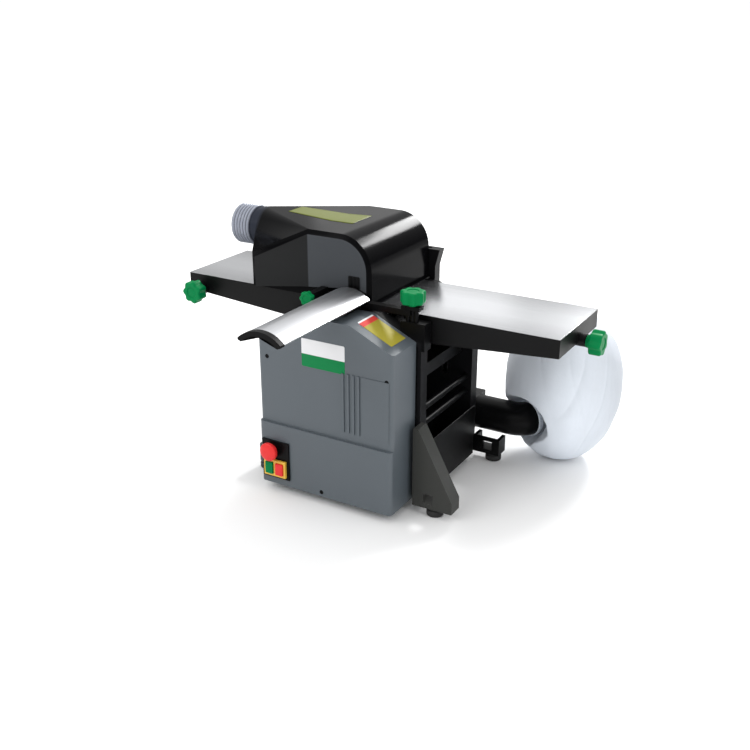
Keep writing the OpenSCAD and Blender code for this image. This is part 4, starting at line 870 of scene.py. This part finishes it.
class PLANER_OT_bag(bpy.types.Operator):
    """Chip bag: a full, softly folded film shell, dented round its mouth, and the gathered neck"""

    bl_idname = "planer.bag"
    bl_label = "Chip bag"

    @staticmethod
    def shell(centre, radius, tall, folds, turn):
        """Rings up the bag: the radius share over the height share, times 1 plus waves.
        The waves are sines of the turn and the height share, less creases where a bent sine crosses zero."""
        # Radius share and height share, from the middle of the floor up the side to the middle of the top.
        shares = np.array(
            [
                [0.0, 0.0], [0.2, 0.0], [0.32, 0.02], [0.47, 0.05], [0.62, 0.1], [0.76, 0.17], [0.86, 0.25],
                [0.94, 0.34], [0.985, 0.42], [1.0, 0.5], [0.98, 0.6], [0.92, 0.7], [0.83, 0.78], [0.71, 0.85],
                [0.57, 0.91], [0.39, 0.96], [0.18, 1.0], [0.0, 1.0],
            ]
        )
        steps = np.concatenate([[0.0], np.cumsum(np.hypot(*np.diff(shares * [radius, tall], axis=0).T))])
        rings, slim, floor_gap = 210, 0.99, 0.0008
        place = np.linspace(0.0, 1.0, rings) * steps[-1]
        share = smoothed(np.interp(place, steps, shares[:, 0]))[:, None].clip(1e-4)
        level = smoothed(np.interp(place, steps, shares[:, 1]))[:, None]
        upper = np.clip((level - 0.5) / 0.5, 0.0, 1.0)
        lower = np.clip((0.35 - level) / 0.35, 0.0, 1.0)
        # Folds towards the top and towards the floor, slow swells and slanting ripples.
        waves = 0.011 * upper * np.sin(folds * turn + 3.0 * level + 0.6)
        waves = waves + 0.008 * lower * np.sin((folds + 3) * turn - 2.0 * level)
        waves = waves + 0.012 * np.sin(3.0 * turn + 7.0 * level) * np.sin(5.0 * level + turn)
        waves = waves + 0.004 * np.sin(8.0 * turn - 11.0 * level + 1.0)
        # Upright creases, swept creases and small lumps.
        bent = 0.5 * folds * turn + 0.9 * np.sin(2.0 * turn + 5.0 * level) + 1.5 * level
        waves = waves - 0.014 * (0.2 + 0.8 * upper + 0.3 * lower) * (1.0 - np.abs(np.sin(bent))) ** 3
        swept = 2.5 * turn - 4.5 * level + 1.3 * np.sin(3.0 * turn + 2.0)
        waves = waves - 0.012 * (1.0 - np.abs(np.sin(swept))) ** 4
        lumps = np.sin(6.0 * turn + 4.0 * np.sin(9.0 * level))
        lumps = lumps * np.sin(13.0 * level + 2.0 * np.sin(2.0 * turn))
        waves = waves + 0.005 * lumps
        size = radius * share * (slim + waves)
        sag = 1.0 - 0.012 * upper * (1.0 + np.sin(2.0 * turn + 0.8))
        rise = np.maximum(tall * level * sag, floor_gap)
        ring = np.stack([np.cos(turn) + 0.0 * level, np.sin(turn) + 0.0 * level], axis=-1)
        return np.concatenate([centre[:2] + size[..., None] * ring, rise[..., None]], axis=-1)

    @staticmethod
    def pushed(points, start, aim, floor, inner, slope, gathers, below):
        """Points in front of a funnel go back along its axis: to the floor, less slope times the reach past
        the inner radius. Under the axis the reach counts for more. Gathers add the absolute value of a sine
        of turn and reach, fading out with the reach."""
        aim, first, second = side_axes(aim)
        offset = points - start
        along = offset @ aim
        a, b = offset @ first, offset @ second
        reach = np.hypot(a, b) + below * np.clip(-offset[..., 2], 0.0, None)
        target = floor - slope * np.clip(reach - inner, 0.0, None)
        fade_length = 0.03
        fade = np.exp(-np.clip(reach - inner, 0.0, None) / fade_length)
        target = target + gathers * fade * np.abs(np.sin(11.0 * np.arctan2(b, a) + 30.0 * reach))
        return points + np.clip(target - along, 0.0, None)[..., None] * aim

    def execute(self, context):
        low, high = corners("chip_bag")
        radius = (high[0] - low[0]) / 2
        centre = np.array([high[0] - radius, high[1] - radius, 0.0])
        turn = np.linspace(0.0, 2.0 * np.pi, 400, endpoint=False)[None, :]
        film = self.shell(centre, radius, high[2], sizes().bag_folds, turn)
        ring_low, ring_high = corners("bag_clamp")
        middle = (ring_low + ring_high) / 2
        ring = (ring_high[2] - ring_low[2]) / 2
        # The pipe's elbow turns the mouth. A wider dent round the mouth is tipped further round.
        elbow, tip, clamp_out, tip_back = math.radians(62.0), 0.436, 0.009, 0.011
        aim = np.array([math.cos(elbow), math.sin(elbow), 0.0])
        tipped = np.array([math.cos(elbow + tip), math.sin(elbow + tip), 0.0])
        mouth = middle - clamp_out * aim
        plain = film
        dent = {"floor": 0.0, "inner": ring + 0.006, "slope": 1.96, "gathers": 0.007, "below": 0.5}
        film = self.pushed(film, mouth - tip_back * aim, tipped, **dent)
        dent = {"floor": 0.0195, "inner": ring + 0.0033, "slope": 3.0, "gathers": 0.003, "below": 0.0}
        film = self.pushed(film, mouth, aim, **dent)
        # Film that would reach into the pipe's straight run lies behind it.
        pipe_low, pipe_high = corners("outlet_pipe")
        bore = (pipe_high[2] - pipe_low[2]) / 2
        clear, straight_end = 0.005, pipe_high[0] - 0.06
        back = (bore + clear) ** 2 - (film[..., 2] - (pipe_low[2] + bore)) ** 2
        behind = pipe_low[1] + bore + np.sqrt(np.clip(back, 0.0, None))
        shut = (back > 0.0) & (film[..., 0] < straight_end)
        film[..., 1] = np.where(shut, np.maximum(film[..., 1], behind), film[..., 1])
        # What has moved is smoothed: each point goes up to half way to the mean of its neighbours, twice.
        full_move = 0.004
        moved = np.clip(np.linalg.norm(film - plain, axis=-1, keepdims=True) / full_move, 0.0, 1.0)
        for _ in range(2):
            near = np.roll(film, 1, axis=1) + np.roll(film, -1, axis=1)
            near[1:-1] = (near[1:-1] + film[2:] + film[:-2]) / 4
            near[[0, -1]] = film[[0, -1]]
            film = film + 0.5 * moved * (near - film)
        make_piece("chip_bag_film", surface(film), "chip_bag", replaces=("chip_bag",), sharp=180.0)
        # The neck is gripped by the clamp: pleats stand free before it and open out after it.
        neck_start, grip_start, grip_end, neck_end = -0.006, 0.004, 0.0145, 0.03
        along = np.linspace(neck_start, neck_end, 60)[:, None]
        _, first, second = side_axes(aim)
        free = np.clip((grip_start - along) / (grip_start - neck_start), 0.0, 1.0)
        opened = np.clip((along - grip_end) / (neck_end - grip_end), 0.0, 1.0)
        pleat = np.abs(np.sin(13.0 * turn + 0.7 * np.sin(3.0 * turn)))
        squeeze, ruffle, flare, flare_pleat = 0.0017, 0.0022, 0.013, 0.004
        width = ring - squeeze + ruffle * free * (0.4 + pleat) + flare * opened ** 1.4
        width = width + flare_pleat * opened * (pleat - 0.6)
        neck = mouth + along[..., None] * aim
        neck = neck + (width * np.cos(turn))[..., None] * first + (width * np.sin(turn))[..., None] * second
        make_piece("chip_bag_neck", surface(neck), "chip_bag", sharp=180.0)
        return {"FINISHED"}


class PLANER_OT_buttons(bpy.types.Operator):
    """Domed stop button"""

    bl_idname = "planer.buttons"
    bl_label = "Stop button"

    def execute(self, context):
        low, high = corners("stop_button")
        middle = (low + high) / 2
        radius = (high[0] - low[0]) / 2
        depth = high[1] - low[1]
        origin = (middle[0], low[1], middle[2])
        head, rim, bevel, crown, stem = 0.014, 0.009, 0.0115, 0.0045, 0.011
        a = np.linspace(0.0, np.pi / 2, 10)
        dome = np.stack([radius * np.sin(a), crown * (1.0 - np.cos(a))], axis=-1)
        edge = [[radius, rim], [radius * 0.97, bevel], [radius * 0.8, head]]
        shank = [[stem, head], [stem, depth], [POLE, depth]]
        shape = surface(turned(np.concatenate([dome + [POLE, 0.0], edge, shank]), origin, Y))
        make_piece("stop_button_dome", shape, "stop_button", replaces=("stop_button",))
        return {"FINISHED"}


class PLANER_OT_feet(bpy.types.Operator):
    """Four rubber feet with a rounded rim and a bolt hole"""

    bl_idname = "planer.feet"
    bl_label = "Rubber feet"

    def execute(self, context):
        low, high = corners("rubber_feet")
        radius, tall, hole, neck = 0.018, high[2], 0.00425, 0.0145
        rim_top, groove, bend = 0.0135, 0.0138, 0.003
        rim = fillet(radius, 0.0, rim_top, bend)
        rows = np.concatenate([[[hole, 0.0]], rim, [[neck, groove], [neck, tall], [hole, tall]]])
        feet = [
            surface(turned(rows, (x, y, 0.0), Z, steps=64), closed_rows=True)
            for x in (low[0] + radius, high[0] - radius)
            for y in (low[1] + radius, high[1] - radius)
        ]
        make_piece("rubber_feet_pads", merged(feet), "rubber_feet", replaces=("rubber_feet",))
        return {"FINISHED"}


class PLANER_OT_trim(bpy.types.Operator):
    """Bare plates on housing and hood, and the ribs of the hood latch"""

    bl_idname = "planer.trim"
    bl_label = "Trim"

    def execute(self, context):
        thick, edge = sizes().plate_t, 0.0004
        green, white, ochre = (0.0, 0.2, 0.055), (0.78, 0.78, 0.79), (0.14, 0.16, 0.03)
        red, amber = (0.62, 0.05, 0.04), (0.36, 0.31, 0.035)
        spot = (-0.0044, -0.226, 0.3325)
        face = plate(spot, X, Z, width=0.101, height=0.059, bend=0.003, thick=thick, edge=edge)
        split = banded("Front plate", 2, [(0.3, green), (0.33, white)])
        make_piece("front_plate", face, "front_housing", split)
        # The shoulder falls away from its top edge.
        slope = np.array([0.096, 0.0, -0.045])
        slope = slope / np.linalg.norm(slope)
        top_edge, down_slope = np.array([0.058, -0.1727, 0.407]), 0.0442
        spot = top_edge + slope * down_slope
        face = plate(spot, slope, Y, width=0.084, height=0.056, bend=0.002, thick=thick, edge=edge)
        bands = banded("Shoulder plate", 0, [(0.0, white), (0.064, red), (0.075, amber)], 0.55)
        make_piece("shoulder_plate", face, "front_housing", bands)
        # The roof plate lies flat as far as the hood's fold, then climbs with the roof to the collar.
        low, high = corners("chip_hood")
        flat_roof, climb = 0.55, 0.164
        outer_end, length, front_edge, narrow, widening = -0.215, 0.16, -0.03, 0.052, 0.028
        rows, columns = 40, 12
        run = np.linspace(0.0, 1.0, rows)[:, None]
        across = outer_end + length * run
        depth = front_edge + (narrow + widening * run) * np.linspace(0.0, 1.0, columns)[None, :]
        crest = flat_roof + np.clip(HOOD_FOLD - across, 0.0, None) * (high[2] - flat_roof) / climb
        grid = np.stack(np.broadcast_arrays(across, depth, crest + thick / 2), axis=-1)
        label = (grid.reshape(-1, 3), stitched(rows, columns, False, False).tolist())
        piece = make_piece("roof_plate", label, "chip_hood", banded("Roof plate", 0, [(0.0, ochre)]))
        sheet = piece.modifiers.new("Plate thickness", "SOLIDIFY")
        sheet.thickness = thick
        sheet.offset = 0.0
        latch, pitch = np.array([0.003, low[1], 0.4555]), 0.009
        ribs = [
            plate(latch + x * X, X, Z, width=0.0056, height=0.024, bend=0.0012, thick=0.0018, edge=0.0008)
            for x in (-pitch, 0.0, pitch)
        ]
        # The flat plate behind the ribs is partly the latch's black body and partly painted shade for the
        # latch's dark hollow.
        ribs.append(plate(latch, X, Z, width=0.027, height=0.026, bend=0.003, thick=thick, edge=edge))
        make_piece("latch_ribs", merged(ribs), "chip_hood", slot_finishes_once()["black_plastic"])
        return {"FINISHED"}


STEPS = (
    PLANER_OT_stage,
    PLANER_OT_solids,
    PLANER_OT_castings,
    PLANER_OT_knobs,
    PLANER_OT_guard,
    PLANER_OT_sleeve,
    PLANER_OT_bag,
    PLANER_OT_buttons,
    PLANER_OT_feet,
    PLANER_OT_trim,
)


class PLANER_PT_panel(bpy.types.Panel):
    """Lists the steps that dress the machine"""

    bl_idname = "PLANER_PT_panel"
    bl_label = "Planer thicknesser"
    bl_space_type = "VIEW_3D"
    bl_region_type = "UI"
    bl_category = "Planer"

    def draw(self, context):
        for step in STEPS:
            self.layout.operator(step.bl_idname)


CLASSES = (MachineSizes, MachineColours, *STEPS, PLANER_PT_panel)


def register():
    """Makes the classes known, and hangs the sizes and colours on the scene."""
    for item in CLASSES:
        bpy.utils.register_class(item)
    bpy.types.Scene.machine_sizes = bpy.props.PointerProperty(type=MachineSizes)
    bpy.types.Scene.machine_colours = bpy.props.PointerProperty(type=MachineColours)


def unregister():
    """Undoes register."""
    del bpy.types.Scene.machine_sizes
    del bpy.types.Scene.machine_colours
    for item in reversed(CLASSES):
        bpy.utils.unregister_class(item)


def main():
    """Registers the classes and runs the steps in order."""
    register()
    for step in STEPS:
        group, name = step.bl_idname.split(".")
        getattr(getattr(bpy.ops, group), name)()


if __name__ == "__main__":
    main()
